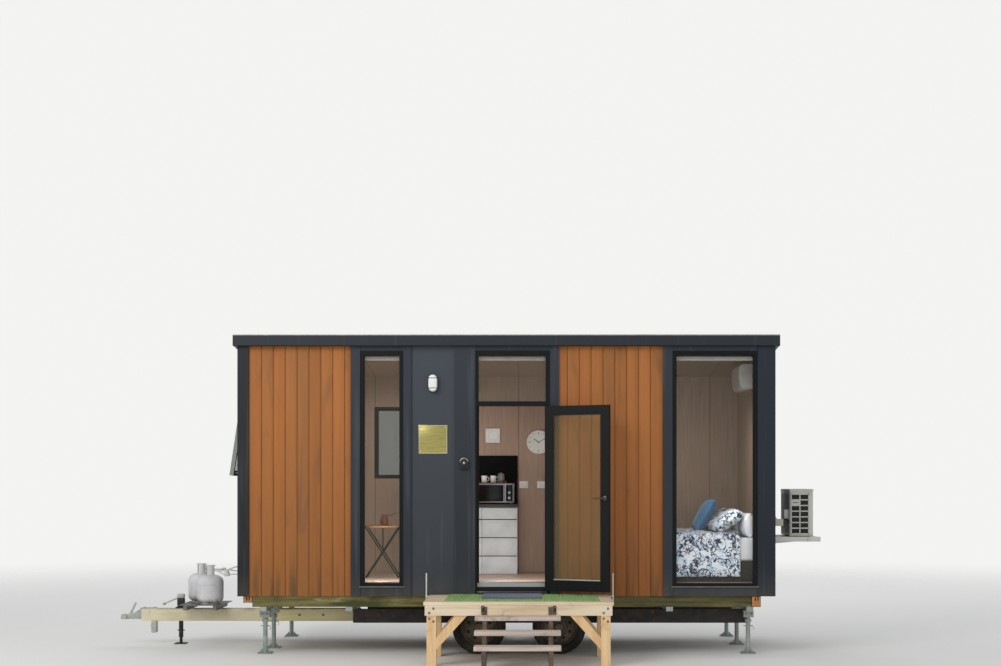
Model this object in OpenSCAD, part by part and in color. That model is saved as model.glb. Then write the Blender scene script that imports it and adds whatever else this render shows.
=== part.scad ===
// Tiny cabin on a tandem-axle trailer, with its landing and steps.
// All places are measured from the middle of the cabin's plan and from the ground,
// and the whole model is then moved so that its origin is the middle of its footprint.
// +X runs to the right along the front, +Y runs to the back, +Z is up.

/* [Cabin] */
// Length of the cabin over its corner trims
cabin_l = 6000; // [5400:100:7200]
// Depth of the cabin from the front trims to the back corner trims
cabin_w = 2400; // [2200:50:2600]
// Thickness of the floor panel
floor_t = 148; // [100:2:180]
// Height of the room at the front wall, from the floor to the roof panel
room_h = 2642; // [2560:2:2800]
// Fall of the roof from front to back, in degrees
roof_fall = 5; // [2:0.5:6]

/* [Walls] */
// Thickness of the front wall between its cladding and the room
core_t = 90; // [70:5:120]
// Thickness of the end and back walls with their steel skin
wall_t = 115; // [90:5:140]
// Depth of the steel trims in front of the wall
trim_t = 45; // [35:1:60]
// Thickness of the timber boards and of the recessed steel panel
board_t = 20; // [12:1:30]
// How far the end and back walls stand behind the corner trims
corner_t = 20; // [10:1:30]
// Length of the corner trims along the end walls and the back wall
corner_leg = 100; // [60:5:160]
// Joint left between neighbouring cladding pieces
shadow_gap = 1; // [1:0.5:3]

/* [Roof] */
// Thickness of the roof panel
roof_t = 90; // [60:5:110]
// Height of the fascia
fascia_h = 128; // [115:1:180]
// Height of the roof sheet's standing ribs
rib_h = 24; // [12:1:36]
// Width of a rib at its foot
rib_w = 60; // [45:1:90]
// Width of a rib at its top
rib_crown = 28; // [15:1:40]
// Distance between the ribs
rib_pitch = 280; // [200:5:400]
// How far the fascia stands out from the trims
fascia_out = 45; // [20:1:80]

/* [Front wall] */
// Width of the steel trims at the left corner
left_trim_w = 125; // [80:1:180]
// Width of the trims beside the windows
side_trim_w = 104; // [60:1:160]
// Left edge of the narrow window's opening, from the left corner
narrow_from = 1368; // [1200:1:1500]
// Width of the narrow window's opening
narrow_w = 483; // [400:1:600]
// Width of the trim between the narrow window and the recessed panel
recess_trim_w = 86; // [50:1:120]
// Width of the recessed steel panel
recess_w = 487; // [400:1:560]
// Width of the trim between the recessed panel and the door frame
door_trim_w = 226; // [180:1:280]
// Width of the door frame
door_w = 837; // [800:1:900]
// Width of the trim to the right of the door frame
jamb_trim_w = 98; // [60:1:140]
// Width of the right timber panel
right_panel_w = 1162; // [1000:1:1200]
// Width of the picture window's opening
picture_w = 950; // [800:1:960]
// Height of the window openings above the underside of the walls
sill_up = 114; // [60:1:200]
// Height of the header over the windows
header_h = 50; // [40:1:120]

/* [Window frames] */
// Width of the window stiles
stile_w = 42; // [30:1:60]
// Height of the window heads
head_h = 50; // [35:1:70]
// Height of the window sills
bottom_h = 27; // [20:1:60]
// Depth of the window frames
frame_d = 110; // [80:1:120]
// How far the window frames stand behind the trims
frame_back = 10; // [5:1:20]
// Thickness of the sealed glass units
glass_t = 24; // [6:1:30]

/* [Door] */
// Width of the left jamb's face
jamb_l = 23; // [18:1:30]
// Width of the right jamb's face
jamb_r = 35; // [28:1:45]
// Width of the door stops beside the leaf
stop_w = 18; // [12:1:25]
// Thickness of the door leaf
leaf_t = 45; // [35:1:50]
// Clearance around the closed leaf
leaf_gap = 5; // [5:0.5:8]
// Height of the door opening above the floor
door_h = 1976; // [1900:1:2050]
// Height of the transom bar
transom_h = 47; // [35:1:70]
// Width of the bead around the transom glass
bead_w = 10; // [8:1:20]
// Width of the leaf's stiles
leaf_stile = 98; // [70:1:120]
// Height of the leaf's top rail
leaf_top = 98; // [70:1:120]
// Height of the leaf's bottom rail
leaf_bottom = 112; // [80:1:160]
// How far the leaf hangs below the floor's surface
leaf_drop = 78; // [60:1:90]
// Clearance between the leaf and the sill's outer step
sill_gap = 22; // [10:1:30]
// How far the sill stands out in front of the trims
sill_nose = 10; // [2:1:10]
// Angle of the open leaf, in degrees
door_open = 155; // [0:5:160]
// Radius of the hinge knuckles
knuckle_r = 7; // [5:0.5:8]
// Distance of the outer hinges from the leaf's ends
hinge_from = 190; // [150:10:260]
// Height of one hinge knuckle
knuckle_h = 45; // [30:1:60]
// How far the hinge axis stands in front of the trims
hinge_out = 10; // [9:0.5:14]
// Height of the handle above the floor
handle_up = 950; // [900:10:1050]
// Length of the handle's lever
lever_l = 120; // [90:1:140]

/* [End and back windows] */
// Distance of the awning window's near edge from the front trims
awning_from = 400; // [300:10:600]
// Width of the awning window
awning_w = 900; // [600:10:1200]
// Height of the awning window's sill above the floor
awning_up = 1187; // [1000:1:1300]
// Height of the awning window
awning_h = 940; // [700:10:1000]
// Thickness of the awning sash
sash_t = 45; // [35:1:50]
// Width of the awning sash's members
sash_w = 55; // [40:1:70]
// Angle at which the awning sash stands open, in degrees
awning_open = 8.5; // [3:0.5:15]
// Left edge of the back window, from the left corner
back_from = 1310; // [1000:10:1600]
// Width of the back window
back_w = 900; // [600:10:1200]
// Height of the back window's sill above the floor
back_up = 1167; // [1000:1:1250]
// Height of the back window
back_h = 900; // [700:10:1000]

/* [Trailer] */
// Height of the timber floor frame
floor_frame_h = 120; // [90:5:140]
// Thickness of the floor frame's timbers
timber_t = 45; // [35:1:50]
// How far the floor frame stops short of the corners
frame_inset = 160; // [100:5:220]
// How far the floor frame stands behind the front trims
bearer_back = 40; // [20:1:45]
// Spacing of the floor joists
joist_step = 440; // [400:10:600]
// Height of the steel crossmembers
cross_h = 50; // [40:1:70]
// Width of the steel crossmembers
cross_w = 75; // [50:1:100]
// Distance of the end crossmembers from the cabin's corners
cross_in = 280; // [240:5:400]
// Height of the chassis rails and drawbar arms
rail_h = 155; // [120:5:180]
// Width of the chassis rails
rail_w = 75; // [50:1:80]
// Gap between the tyres and the chassis rails
tyre_gap = 42.5; // [30:0.5:150]
// Width of the drawbar's beam
towbar_w = 100; // [80:1:140]
// Height of the drawbar's beam
towbar_h = 148; // [120:1:160]
// How far the drawbar hangs below the crossmembers
towbar_drop = 55; // [40:1:80]
// Thickness of the sleeve round the drawbar under the cabin
sleeve_t = 25; // [8:1:40]
// How far the drawbar stands out past the cabin's left corner
towbar_out = 1350; // [1200:10:1700]
// How far the sleeve reaches in from the cabin's left corner
sleeve_in = 1240; // [1100:10:1500]
// Length of the tow coupling in front of the arms
coupling_l = 250; // [200:5:280]
// Distance between the jockey leg's head and the bottles' tray
jockey_clear = 18; // [5:1:60]
// Radius of the coupling's socket for the tow ball
ball_r = 25; // [23.8:0.1:25.4]
// Height of the left marker lamps
lamp_size = 75; // [50:5:90]
// Width of the marker lamps
lamp_w = 105; // [60:5:120]

/* [Wheels] */
// Radius of the tyres
tyre_r = 300; // [290:1:310]
// Width of the tyres
tyre_w = 200; // [160:5:205]
// Radius of the rims
rim_r = 198; // [170:1:205]
// Radius of the hubs
hub_r = 55; // [45:1:70]
// Radius of the stub axles
stub_r = 22; // [18:1:26]
// Distance between the axles
axle_step = 900; // [820:10:1000]
// Place of the axles' middle, to the right of the cabin's middle
axle_at = 140; // [0:10:300]
// Distance of the tyres' outer faces from the front and back trims
tyre_in = 100; // [95:5:120]
// Size of the square axle beams
beam_w = 50; // [40:1:60]
// Height of the pads between the axle beams and the chassis rails
pad_h = 5; // [2:1:20]

/* [Stabiliser legs] */
// Radius of the leg tubes
leg_tube_r = 25; // [20:1:30]
// Width of the square leg heads
leg_head_w = 112; // [90:1:130]
// Height of the square leg heads
leg_head_h = 75; // [50:1:100]
// Clearance between the chassis rails and the outer legs' heads
leg_off = 86.5; // [20:0.5:110]
// How far the left middle leg stands in front of the drawbar's middle
leg_aside = 400; // [200:10:500]
// Width of the base plates
leg_foot_w = 160; // [120:5:200]

/* [Landing] */
// Left edge of the landing, from the cabin's middle
landing_x = -855; // [-900:5:-800]
// Length of the landing
landing_l = 1996; // [1800:1:2200]
// Depth of the landing
landing_d = 1085; // [900:5:1200]
// Drop from the door leaf's lower edge to the landing's surface
landing_drop = 50; // [35:1:80]
// Thickness of the landing's boards
plank_t = 38; // [25:1:45]
// Width of one landing board
plank_w = 131; // [90:1:140]
// Height of the landing's fascia boards
skirt_h = 105; // [90:1:140]
// Thickness of the landing's fascia boards
skirt_t = 45; // [30:1:45]
// Size of the square landing legs
post_w = 100; // [75:1:100]
// Clearance between the landing and the cabin
landing_gap = 15; // [10:1:20]
// Length of the braces' reach along the landing
brace_reach = 300; // [200:10:340]
// Thickness of the turf mat
mat_t = 12; // [8:1:15]
// Margin of bare boards around the turf mat
mat_margin = 140; // [80:5:200]
// Distance of the mat from the landing's left end
mat_left = 215; // [80:5:300]

/* [Steps] */
// Left end of the treads, from the cabin's middle
tread_x = -310; // [-400:5:-250]
// Length of the treads
tread_l = 890; // [700:5:950]
// Thickness of the treads
tread_t = 45; // [35:1:45]
// Going from one tread to the next
going = 190; // [170:5:210]
// Rise from one tread to the next
rise = 137; // [125:1:145]
// How far each tread stands out in front of the stringers' risers
tread_nose = 12; // [5:1:25]
// Number of treads
treads = 3; // [2:1:4]
// Thickness of the stringers
stringer_t = 45; // [35:1:50]
// How far the treads reach beyond the stringers
tread_over = 80; // [40:5:120]

/* [Outside fittings] */
// Height of the wall light's middle above the floor
light_up = 2229; // [2000:1:2300]
// Height of the sign plate's lower edge above the floor
sign_up = 1443; // [1300:1:1600]
// Length of the sign plate's sides
sign_w = 320; // [250:5:380]
// Height of the key box's middle above the floor
key_up = 1332; // [1200:1:1400]
// Height of the outdoor unit's shelf above the floor
shelf_up = 456; // [400:1:700]
// How far the shelf stands out from the right end wall
shelf_out = 660; // [620:5:760]
// Depth of the outdoor unit
unit_d = 275; // [250:1:300]
// Length of the outdoor unit
unit_l = 660; // [600:5:820]
// Distance of the outdoor unit behind the front trims
unit_from = 800; // [600:10:1000]
// Height of the outdoor unit
unit_h = 560; // [500:5:600]
// Distance of the outdoor unit from the end wall
unit_off = 306; // [200:1:330]
// Radius of the gas bottles
bottle_r = 155; // [140:1:165]
// Distance of the far gas bottle's middle from the cabin's corner
bottle_out = 680; // [560:10:800]
// How much nearer to the cabin the front gas bottle stands
bottle_shift = 175; // [0:5:200]
// Distance of the far gas bottle's middle behind the drawbar's middle
bottle_side = 185; // [175:5:200]
// Height of the gas bottles' bodies
bottle_h = 345; // [300:5:400]
// Height of the bottles' collars
collar_h = 115; // [90:1:130]

/* [Room] */
// Length of the kitchen bench
bench_l = 1300; // [1000:10:1500]
// Right end of the kitchen bench, from the cabin's middle
bench_end = 109; // [0:1:200]
// Length of the microwave oven
oven_l = 498; // [440:1:560]
// Depth of the microwave oven
oven_d = 380; // [300:5:420]
// Height of the microwave oven
oven_h = 255; // [230:5:300]
// Distance of the microwave oven from the bench's right end
oven_in = 42; // [10:1:120]
// Radius of the wall clock
clock_r = 150; // [100:5:180]
// Thickness of the wall clock
clock_t = 30; // [20:1:40]
// Distance of the clock's middle from the bench's right end
clock_from = 261; // [200:1:300]
// Height of the clock's middle above the floor
clock_up = 1625; // [1500:5:1750]
// Length of the plaque's sides
plaque_w = 180; // [120:5:220]
// Distance of the plaque's middle from the bench's right end
plaque_from = 313; // [280:1:400]
// Height of the plaque's middle above the floor
plaque_up = 1706; // [1550:1:1800]
// Height of the switch plates above the floor
switch_up = 1047; // [950:1:1150]
// Length of the switch plates
switch_l = 110; // [70:5:120]
// Height of the switch plates
switch_h = 88; // [70:1:100]
// Place of the indoor unit's near end, from the cabin's middle
indoor_y = -660; // [-1040:10:-300]
// Length of the indoor unit
indoor_l = 700; // [700:10:900]
// Height of the indoor unit
indoor_h = 290; // [260:5:320]
// Depth of the indoor unit
indoor_d = 200; // [170:5:240]
// Depth of the kitchen bench
bench_d = 565; // [500:5:600]
// Height of the kitchen bench
bench_h = 855; // [820:5:900]
// Thickness of the worktop
worktop_t = 40; // [25:1:45]
// Height of the splashback
splash_h = 600; // [450:10:650]
// Radius of the folding table
table_r = 230; // [200:5:300]
// Height of the folding table
table_h = 614; // [550:1:700]
// Place of the folding table's middle, from the left corner
table_at = 1523; // [1400:5:1600]
// Place of the folding table's middle in front of the cabin's middle
table_y = -100; // [-300:10:100]
// Length of the white pillows
pillow_l = 620; // [500:5:640]
// Height of the white pillows
pillow_h = 280; // [180:5:320]
// Distance of the pillows from the bed's front edge
pillow_in = 40; // [20:1:60]
// Thickness of the pillow that leans on the white ones
lean_t = 130; // [90:1:150]
// Length of the leaning pillow
lean_l = 600; // [450:5:620]
// Height of the leaning pillow
lean_h = 340; // [200:5:360]
// How far the leaning pillow's foot stands out from the white ones
lean_out = 374; // [280:1:400]
// Thickness of the cushion
cushion_t = 130; // [80:1:140]
// Width of the cushion
cushion_l = 450; // [350:5:500]
// Height of the cushion
cushion_h = 400; // [300:5:450]
// How far the cushion's foot stands out from the white pillows
cushion_out = 489; // [450:1:600]
// Length of the bed
bed_l = 1990; // [1850:10:2000]
// Width of the bed
bed_w = 1530; // [1370:10:1600]
// Clearance between the bed and the front wall
bed_gap = 80; // [60:5:120]
// Height of the bed base
bed_base_h = 235; // [180:5:260]
// Thickness of the mattress
mattress_t = 260; // [200:5:280]
// Thickness of the duvet
duvet_t = 85; // [60:5:100]
// How far the duvet hangs down at the side of the bed
duvet_hang = 430; // [300:10:460]
// Length of bare mattress at the bed's head
duvet_off = 218; // [200:1:400]

/* [Hidden] */

// Heights of the trailer, from the ground up
rail_z = tyre_r + beam_w / 2 + pad_h;
rail_top = rail_z + rail_h;
frame_z = rail_top + cross_h;
skirt_z = frame_z + floor_frame_h;

// Faces of the cabin, from the middle of its plan
x_end = cabin_l / 2;
x_skin = x_end - corner_t;
x_room = x_skin - wall_t;
y_trim = -cabin_w / 2;
y_core = y_trim + trim_t;
y_board = y_core - board_t;
y_room = y_core + core_t;
y_back = cabin_w / 2 - corner_t;
y_room_back = y_back - wall_t;
floor_z = skirt_z + floor_t;
eave_z = floor_z + room_h;
head_z = eave_z - header_h;
sill_z = skirt_z + sill_up;
fall = tan(roof_fall);

// Openings of the front wall
narrow = [-x_end + narrow_from, -x_end + narrow_from + narrow_w];
recess = [narrow[1] + recess_trim_w, narrow[1] + recess_trim_w + recess_w];
door = [recess[1] + door_trim_w, recess[1] + door_trim_w + door_w];
right_panel = [door[1] + jamb_trim_w, door[1] + jamb_trim_w + right_panel_w];
picture = [right_panel[1] + side_trim_w, right_panel[1] + side_trim_w + picture_w];
left_panel = [-x_end + left_trim_w, narrow[0] - side_trim_w];

// Door leaf, in its closed place
leaf_x = [door[0] + jamb_l + leaf_gap, door[1] - jamb_r - leaf_gap];
leaf_y = [y_trim + leaf_gap, y_trim + leaf_gap + leaf_t];
y_stop = leaf_y[1] + leaf_gap;
transom_z = floor_z + door_h;
leaf_z = [floor_z - leaf_drop, transom_z - leaf_gap];
hinge_x = leaf_x[1] + leaf_gap / 2;
hinge_y = y_trim - hinge_out;
hinge_z = [leaf_z[0] + hinge_from, (leaf_z[0] + leaf_z[1]) / 2, leaf_z[1] - hinge_from - 2 * knuckle_h];
knuckle_gap = 0.5;
plate_t = 3;
plate_l = 28;

// End and back windows
awning_y = [y_trim + awning_from, y_trim + awning_from + awning_w];
awning_z = [floor_z + awning_up, floor_z + awning_up + awning_h];
back_x = [-x_end + back_from, -x_end + back_from + back_w];
back_z = [floor_z + back_up, floor_z + back_up + back_h];

// Trailer
frame_x = x_end - frame_inset;
bearer_y = [y_trim + bearer_back, y_trim + bearer_back + timber_t];
bearer_back_y = [-bearer_y[1], -bearer_y[0]];
axle_x = [axle_at - axle_step / 2, axle_at + axle_step / 2];
wheel_room = 35;
wheel_zone = [axle_x[0] - tyre_r - wheel_room, axle_x[1] + tyre_r + wheel_room];
tyre_y = [y_trim + tyre_in, y_trim + tyre_in + tyre_w];
rail_y = -tyre_y[1] - tyre_gap - rail_w / 2;
cross_end = x_end - cross_in;
nose_x = -x_end - towbar_out;
brace_x = -x_end + sleeve_in;
towbar_top = rail_top - towbar_drop;
towbar_z = towbar_top - towbar_h;
coupling_z = towbar_top - 130;
run_gap = 0.05;
stub_end_gap = 5;
wheel_bore = tyre_w - 60;
foot_t = 10;
rail_lap = 25;

// Landing and steps
landing_y = [y_trim - landing_gap - landing_d, y_trim - landing_gap];
landing_z = leaf_z[0] - landing_drop;
landing_ends = [landing_x, landing_x + landing_l];
plank_gap = 5;
plank_over = 15;
fascia_in = 5;
planks = floor((landing_d + plank_gap) / (plank_w + plank_gap));
joist_z = [landing_z - plank_t - skirt_h, landing_z - plank_t];
post_in = 34;
steps_y = landing_y[0] - treads * going;
stringer_x = [tread_x + tread_over, tread_x + tread_l - tread_over - stringer_t];

// The model's origin is the middle of its footprint
x_low = nose_x - coupling_l;
x_high = x_skin + shelf_out;
y_low = steps_y;
y_high = cabin_w / 2 + fascia_out;
site = [-(x_low + x_high) / 2, -(y_low + y_high) / 2, 0];

steel = "#363c46";
black = "#161a1c";
timber = "#a86c45";
pine = "#dcc0a4";
galvanised = "#96a09b";
lining = "#9b8476";

// Underside of the roof panel at a place between the front and the back
function ceiling(y) = eave_z - (y - y_core) * fall;

// A box between pairs of coordinates
module slab(x, y, z)
    translate([x[0], y[0], z[0]]) cube([x[1] - x[0], y[1] - y[0], z[1] - z[0]]);

// A profile in the Y-Z plane, drawn out along X
module along_x(x)
    translate([x[0], 0, 0]) rotate([90, 0, 90]) linear_extrude(x[1] - x[0]) children();

// A wall piece with a level foot and a top that follows the roof
module wall_piece(x, y, foot)
    along_x(x) polygon([[y[0], foot], [y[1], foot], [y[1], ceiling(y[1])], [y[0], ceiling(y[0])]]);

// A rectangular frame in a front or back wall
module front_ring(x, y, z, side, top, bottom)
    difference() {
        slab(x, y, z);
        slab([x[0] + side, x[1] - side], [y[0] - 1, y[1] + 1], [z[0] + bottom, z[1] - top]);
    }

// A rectangular frame in an end wall
module end_ring(x, y, z, side)
    difference() {
        slab(x, y, z);
        slab([x[0] - 1, x[1] + 1], [y[0] + side, y[1] - side], [z[0] + side, z[1] - side]);
    }

// A round bar between two points
module bar(a, b, r) {
    run = b - a;
    length = norm(run);
    translate(a) rotate([0, acos(run[2] / length), atan2(run[1], run[0])])
        cylinder(r = r, h = length, $fn = 24);
}

module mirror_y() {
    children();
    mirror([0, 1, 0]) children();
}

module on_site() translate(site) children();

// Trailer

module chassis_rails() on_site() color(galvanised) mirror_y()
    slab([brace_x + cross_w / 2 - rail_lap, cross_end + cross_w / 2],
        [rail_y - rail_w / 2, rail_y + rail_w / 2], [rail_z, rail_top]);

module chassis_crossmembers() {
    ends = [-cross_end, brace_x, wheel_zone[0] - cross_w, wheel_zone[1] + cross_w,
        (wheel_zone[1] + cross_end) / 2, cross_end];
    on_site() color(galvanised) for (x = ends)
        slab([x - cross_w / 2, x + cross_w / 2], [bearer_y[0], bearer_back_y[1]], [rail_top, frame_z]);
}

// Central beam, the sleeve that holds it under the cabin and the hangers of the sleeve
module drawbar() {
    half = towbar_w / 2;
    hanger_l = 60;
    sleeve_out = 50;
    sleeve_lap = 10;
    sleeve_x = [-cross_end - cross_w / 2 - sleeve_out, brace_x + sleeve_lap];
    on_site() color("#beb691") {
        slab([nose_x, sleeve_x[0] + 1], [-half, half], [towbar_z, towbar_top]);
        slab(sleeve_x, [-half - sleeve_t, half + sleeve_t], [towbar_z, towbar_top]);
        for (x = [-cross_end, brace_x - hanger_l / 2])
            slab([x - hanger_l / 2, x + hanger_l / 2], [-half, half], [towbar_top - 1, rail_top]);
    }
}

bottle_x = [-x_end - bottle_out, -x_end - bottle_out + bottle_shift];
bottle_y = [bottle_side, 10 - bottle_side];
tray_t = 6;
tray_x = [bottle_x[0] - bottle_r - 10, bottle_x[1] + bottle_r + 10];
tray_y = bottle_y[0] + bottle_r + 15;

module bottle_tray() on_site() color(galvanised) {
    bearer_w = 40;
    bearer_in = 80;
    slab(tray_x, [-tray_y, tray_y], [rail_top, rail_top + tray_t]);
    for (x = [tray_x[0] + bearer_in, tray_x[1] - bearer_in])
        slab([x - bearer_w / 2, x + bearer_w / 2], [-tray_y, tray_y], [towbar_top, rail_top + 1]);
}

// The coupling's head holds the tow ball from above
module tow_coupling() {
    head_r = ball_r + 22;
    head_x = x_low + head_r;
    head_h = 62;
    socket_d = 40;
    neck_w = 46;
    neck_h = 84;
    cover_l = 180;
    flange_t = 10;
    latch_at = 60;
    latch_h = 70;
    on_site() color(galvanised) {
        slab([nose_x - 1, nose_x + cover_l], [-towbar_w / 2, towbar_w / 2],
            [towbar_top, towbar_top + tray_t]);
        slab([nose_x - flange_t, nose_x], [-towbar_w / 2, towbar_w / 2], [coupling_z, towbar_top + tray_t]);
        difference() {
            union() {
                translate([head_x, 0, coupling_z]) cylinder(r = head_r, h = head_h, $fn = 48);
                slab([head_x, nose_x - 1], [-neck_w / 2, neck_w / 2], [coupling_z, coupling_z + neck_h]);
                bar([head_x + latch_at, 0, coupling_z + neck_h / 2],
                    [head_x + latch_at + latch_h, 0, towbar_top + latch_h], 9);
            }
            translate([head_x, 0, coupling_z - 1]) cylinder(r = ball_r, h = socket_d, $fn = 48);
        }
    }
}

// Jockey leg with its crank, and the bracket under the drawbar's nose
module jockey_leg() {
    sleeve_r = 26;
    sleeve_z = 80;
    head_w = 84;
    jockey_gap = 41;
    leg_x = tray_x[0] - jockey_clear - head_w / 2;
    leg_y = towbar_w / 2 + jockey_gap;
    head_z = towbar_top + 165;
    head_d = 70;
    foot_w = 140;
    bar_t = 14;
    crank_l = 200;
    crank_low = 45;
    bracket_at = 150;
    bracket_x = nose_x + bracket_at;
    bracket_w = 60;
    bracket_h = 140;
    on_site() color("#3a2b2b") {
        translate([leg_x, leg_y, sleeve_z]) cylinder(r = sleeve_r, h = head_z - sleeve_z - 1, $fn = 32);
        translate([leg_x, leg_y, 0]) cylinder(r = sleeve_r - 8, h = sleeve_z + 1, $fn = 32);
        slab([leg_x - foot_w / 2, leg_x + foot_w / 2], [leg_y - foot_w / 2, leg_y + foot_w / 2],
            [0, foot_t]);
        slab([leg_x - head_w / 2, leg_x + head_w / 2], [leg_y - head_d / 2, leg_y + head_d / 2],
            [towbar_top + bar_t - 1, head_z]);
        slab([leg_x - 40, leg_x + 40], [-towbar_w / 2, leg_y + head_d / 2], [towbar_top, towbar_top + bar_t]);
        bar([leg_x, leg_y, head_z - 30], [leg_x - crank_l, leg_y, towbar_top + crank_low], 10);
        slab([bracket_x - bracket_w / 2, bracket_x + bracket_w / 2], [-towbar_w / 2, towbar_w / 2],
            [towbar_z - bracket_h, towbar_z]);
    }
}

module axles() on_site() color("#3c4044") for (x = axle_x) {
    slab([x - beam_w / 2, x + beam_w / 2], [tyre_y[1] + 20, -tyre_y[1] - 20],
        [tyre_r - beam_w / 2, tyre_r + beam_w / 2]);
    mirror_y() translate([x, tyre_y[1] - wheel_bore + stub_end_gap, tyre_r]) rotate([-90, 0, 0])
        cylinder(r = stub_r - run_gap, h = wheel_bore + 40, $fn = 48);
    mirror_y() slab([x - 60, x + 60], [rail_y - rail_w / 2, rail_y + rail_w / 2],
        [tyre_r + beam_w / 2 - 1, rail_z]);
}

// A wheel about its own axle, with its outer face towards -Y
module wheel() {
    shoulder = 26;
    half = tyre_w / 2;
    seat_gap = 0.2;
    disc_t = 12;
    vent_r = 19;
    vents = 8;
    rotate([90, 0, 0]) {
        color("#22211f") rotate_extrude($fn = 96) polygon([
            [rim_r + seat_gap, -half + 16], [rim_r + seat_gap + 22, -half],
            [tyre_r - shoulder - 18, -half], [tyre_r, -half + shoulder], [tyre_r, half - shoulder],
            [tyre_r - shoulder - 18, half], [rim_r + seat_gap + 22, half],
            [rim_r + seat_gap, half - 16]]);
        color("#4c463a") difference() {
            union() {
                difference() {
                    cylinder(r = rim_r, h = tyre_w - 32, center = true, $fn = 96);
                    cylinder(r = rim_r - 9, h = tyre_w, center = true, $fn = 96);
                }
                translate([0, 0, half - 60]) cylinder(r = rim_r - 5, h = disc_t, $fn = 96);
                translate([0, 0, -half + 10]) cylinder(r = hub_r, h = tyre_w - 40, $fn = 48);
            }
            translate([0, 0, -half - 1]) cylinder(r = stub_r, h = wheel_bore + 1, $fn = 48);
            for (i = [0:vents - 1]) rotate([0, 0, i * 360 / vents])
                translate([rim_r * 0.66, 0, half - 70]) cylinder(r = vent_r, h = 40, $fn = 32);
        }
    }
}

wheel_y = (tyre_y[0] + tyre_y[1]) / 2;

module wheel_front_left() on_site() translate([axle_x[0], wheel_y, tyre_r]) wheel();
module wheel_front_right() on_site() translate([axle_x[1], wheel_y, tyre_r]) wheel();
module wheel_back_left() on_site() translate([axle_x[0], -wheel_y, tyre_r]) mirror([0, 1, 0]) wheel();
module wheel_back_right() on_site() translate([axle_x[1], -wheel_y, tyre_r]) mirror([0, 1, 0]) wheel();

module stabiliser_legs() {
    collar_at = 55;
    outer = rail_y + rail_w / 2 + leg_off + leg_head_w / 2;
    on_site() color(galvanised) for (x = [-cross_end, cross_end], y = [-outer, x < 0 ? -leg_aside : 0, outer])
        translate([x, y, 0]) {
            slab([-leg_head_w / 2, leg_head_w / 2], [-leg_head_w / 2, leg_head_w / 2],
                [rail_top - leg_head_h, rail_top]);
            cylinder(r = leg_tube_r, h = rail_top - leg_head_h, $fn = 32);
            translate([0, 0, rail_top - leg_head_h - collar_at])
                cylinder(r = leg_tube_r + 12, h = 32, $fn = 32);
            slab([-leg_foot_w / 2, leg_foot_w / 2], [-leg_foot_w / 2, leg_foot_w / 2], [0, foot_t]);
        }
}

module floor_bearers() on_site() color("#6c7040") for (y = [bearer_y, bearer_back_y])
    slab([-frame_x, frame_x], y, [frame_z, skirt_z]);

// The joists over the wheels stop short of the tyres
module floor_joists() {
    inner = [bearer_y[1], bearer_back_y[0]];
    over_rails = rail_y + rail_w / 2;
    count = floor((2 * frame_x - timber_t) / joist_step);
    pitch = (2 * frame_x - timber_t) / count;
    on_site() color("#7d7048") for (i = [0:count]) {
        x = -frame_x + i * pitch;
        over_wheel = x + timber_t > wheel_zone[0] && x < wheel_zone[1];
        slab([x, x + timber_t], over_wheel ? [-over_rails, over_rails] : inner, [frame_z, skirt_z]);
    }
}

module marker_lamps() {
    lamp_t = 30;
    face = bearer_back_y[1];
    on_site() color("#d08a28") mirror_y() {
        slab([-frame_x - lamp_w, -frame_x], [face - lamp_t, face], [skirt_z - lamp_size, skirt_z]);
        slab([frame_x - lamp_w, frame_x], [face, face + lamp_t], [frame_z, skirt_z]);
    }
}

// Cabin shell

module floor_panel() on_site() color("#b59f8e")
    slab([-x_room, x_room], [y_room, y_room_back], [skirt_z, floor_z]);

module front_wall() on_site() color(lining)
    for (x = [[-x_room, narrow[0]], [narrow[1], door[0]], [door[1], picture[0]], [picture[1], x_room]])
        slab(x, [y_core, y_room], [skirt_z, head_z]);

module front_wall_header() on_site() color(lining)
    wall_piece([-x_room, x_room], [y_core, y_room], head_z);

module front_wall_base() on_site() color(lining) for (x = [narrow, picture])
    slab(x, [y_core, y_room], [skirt_z, sill_z]);

module right_end_wall() on_site() color(steel)
    wall_piece([x_room, x_skin], [y_core, y_back], skirt_z);

module left_end_wall() on_site() color(steel) difference() {
    wall_piece([-x_skin, -x_room], [y_core, y_back], skirt_z);
    slab([-x_skin - 1, -x_room + 1], awning_y, awning_z);
}

module back_wall() on_site() color(steel) difference() {
    wall_piece([-x_room, x_room], [y_room_back, y_back], skirt_z);
    slab(back_x, [y_room_back - 1, y_back + 1], back_z);
}

// One standing rib of the roof sheet, along the fall
module roof_rib(x) {
    end_gap = 4;
    sunk = 1;
    start_y = y_core + end_gap;
    length = (y_back - start_y - end_gap) / cos(roof_fall);
    translate([x, start_y, ceiling(start_y) + roof_t]) rotate([90 - roof_fall, 0, 0])
        translate([0, 0, -length]) linear_extrude(length)
            polygon([[-rib_w / 2, -sunk], [rib_w / 2, -sunk], [rib_w / 2, 0], [rib_crown / 2, rib_h],
                [-rib_crown / 2, rib_h], [-rib_w / 2, 0]]);
}

module roof_panel() on_site() color("#8c9296") {
    ribs = floor((2 * x_skin - rib_w) / rib_pitch);
    along_x([-x_skin, x_skin])
        polygon([[y_core, ceiling(y_core) + run_gap], [y_back, ceiling(y_back) + run_gap],
            [y_back, ceiling(y_back) + roof_t], [y_core, ceiling(y_core) + roof_t]]);
    for (i = [0:ribs - 1]) roof_rib((i - (ribs - 1) / 2) * rib_pitch);
}

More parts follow.
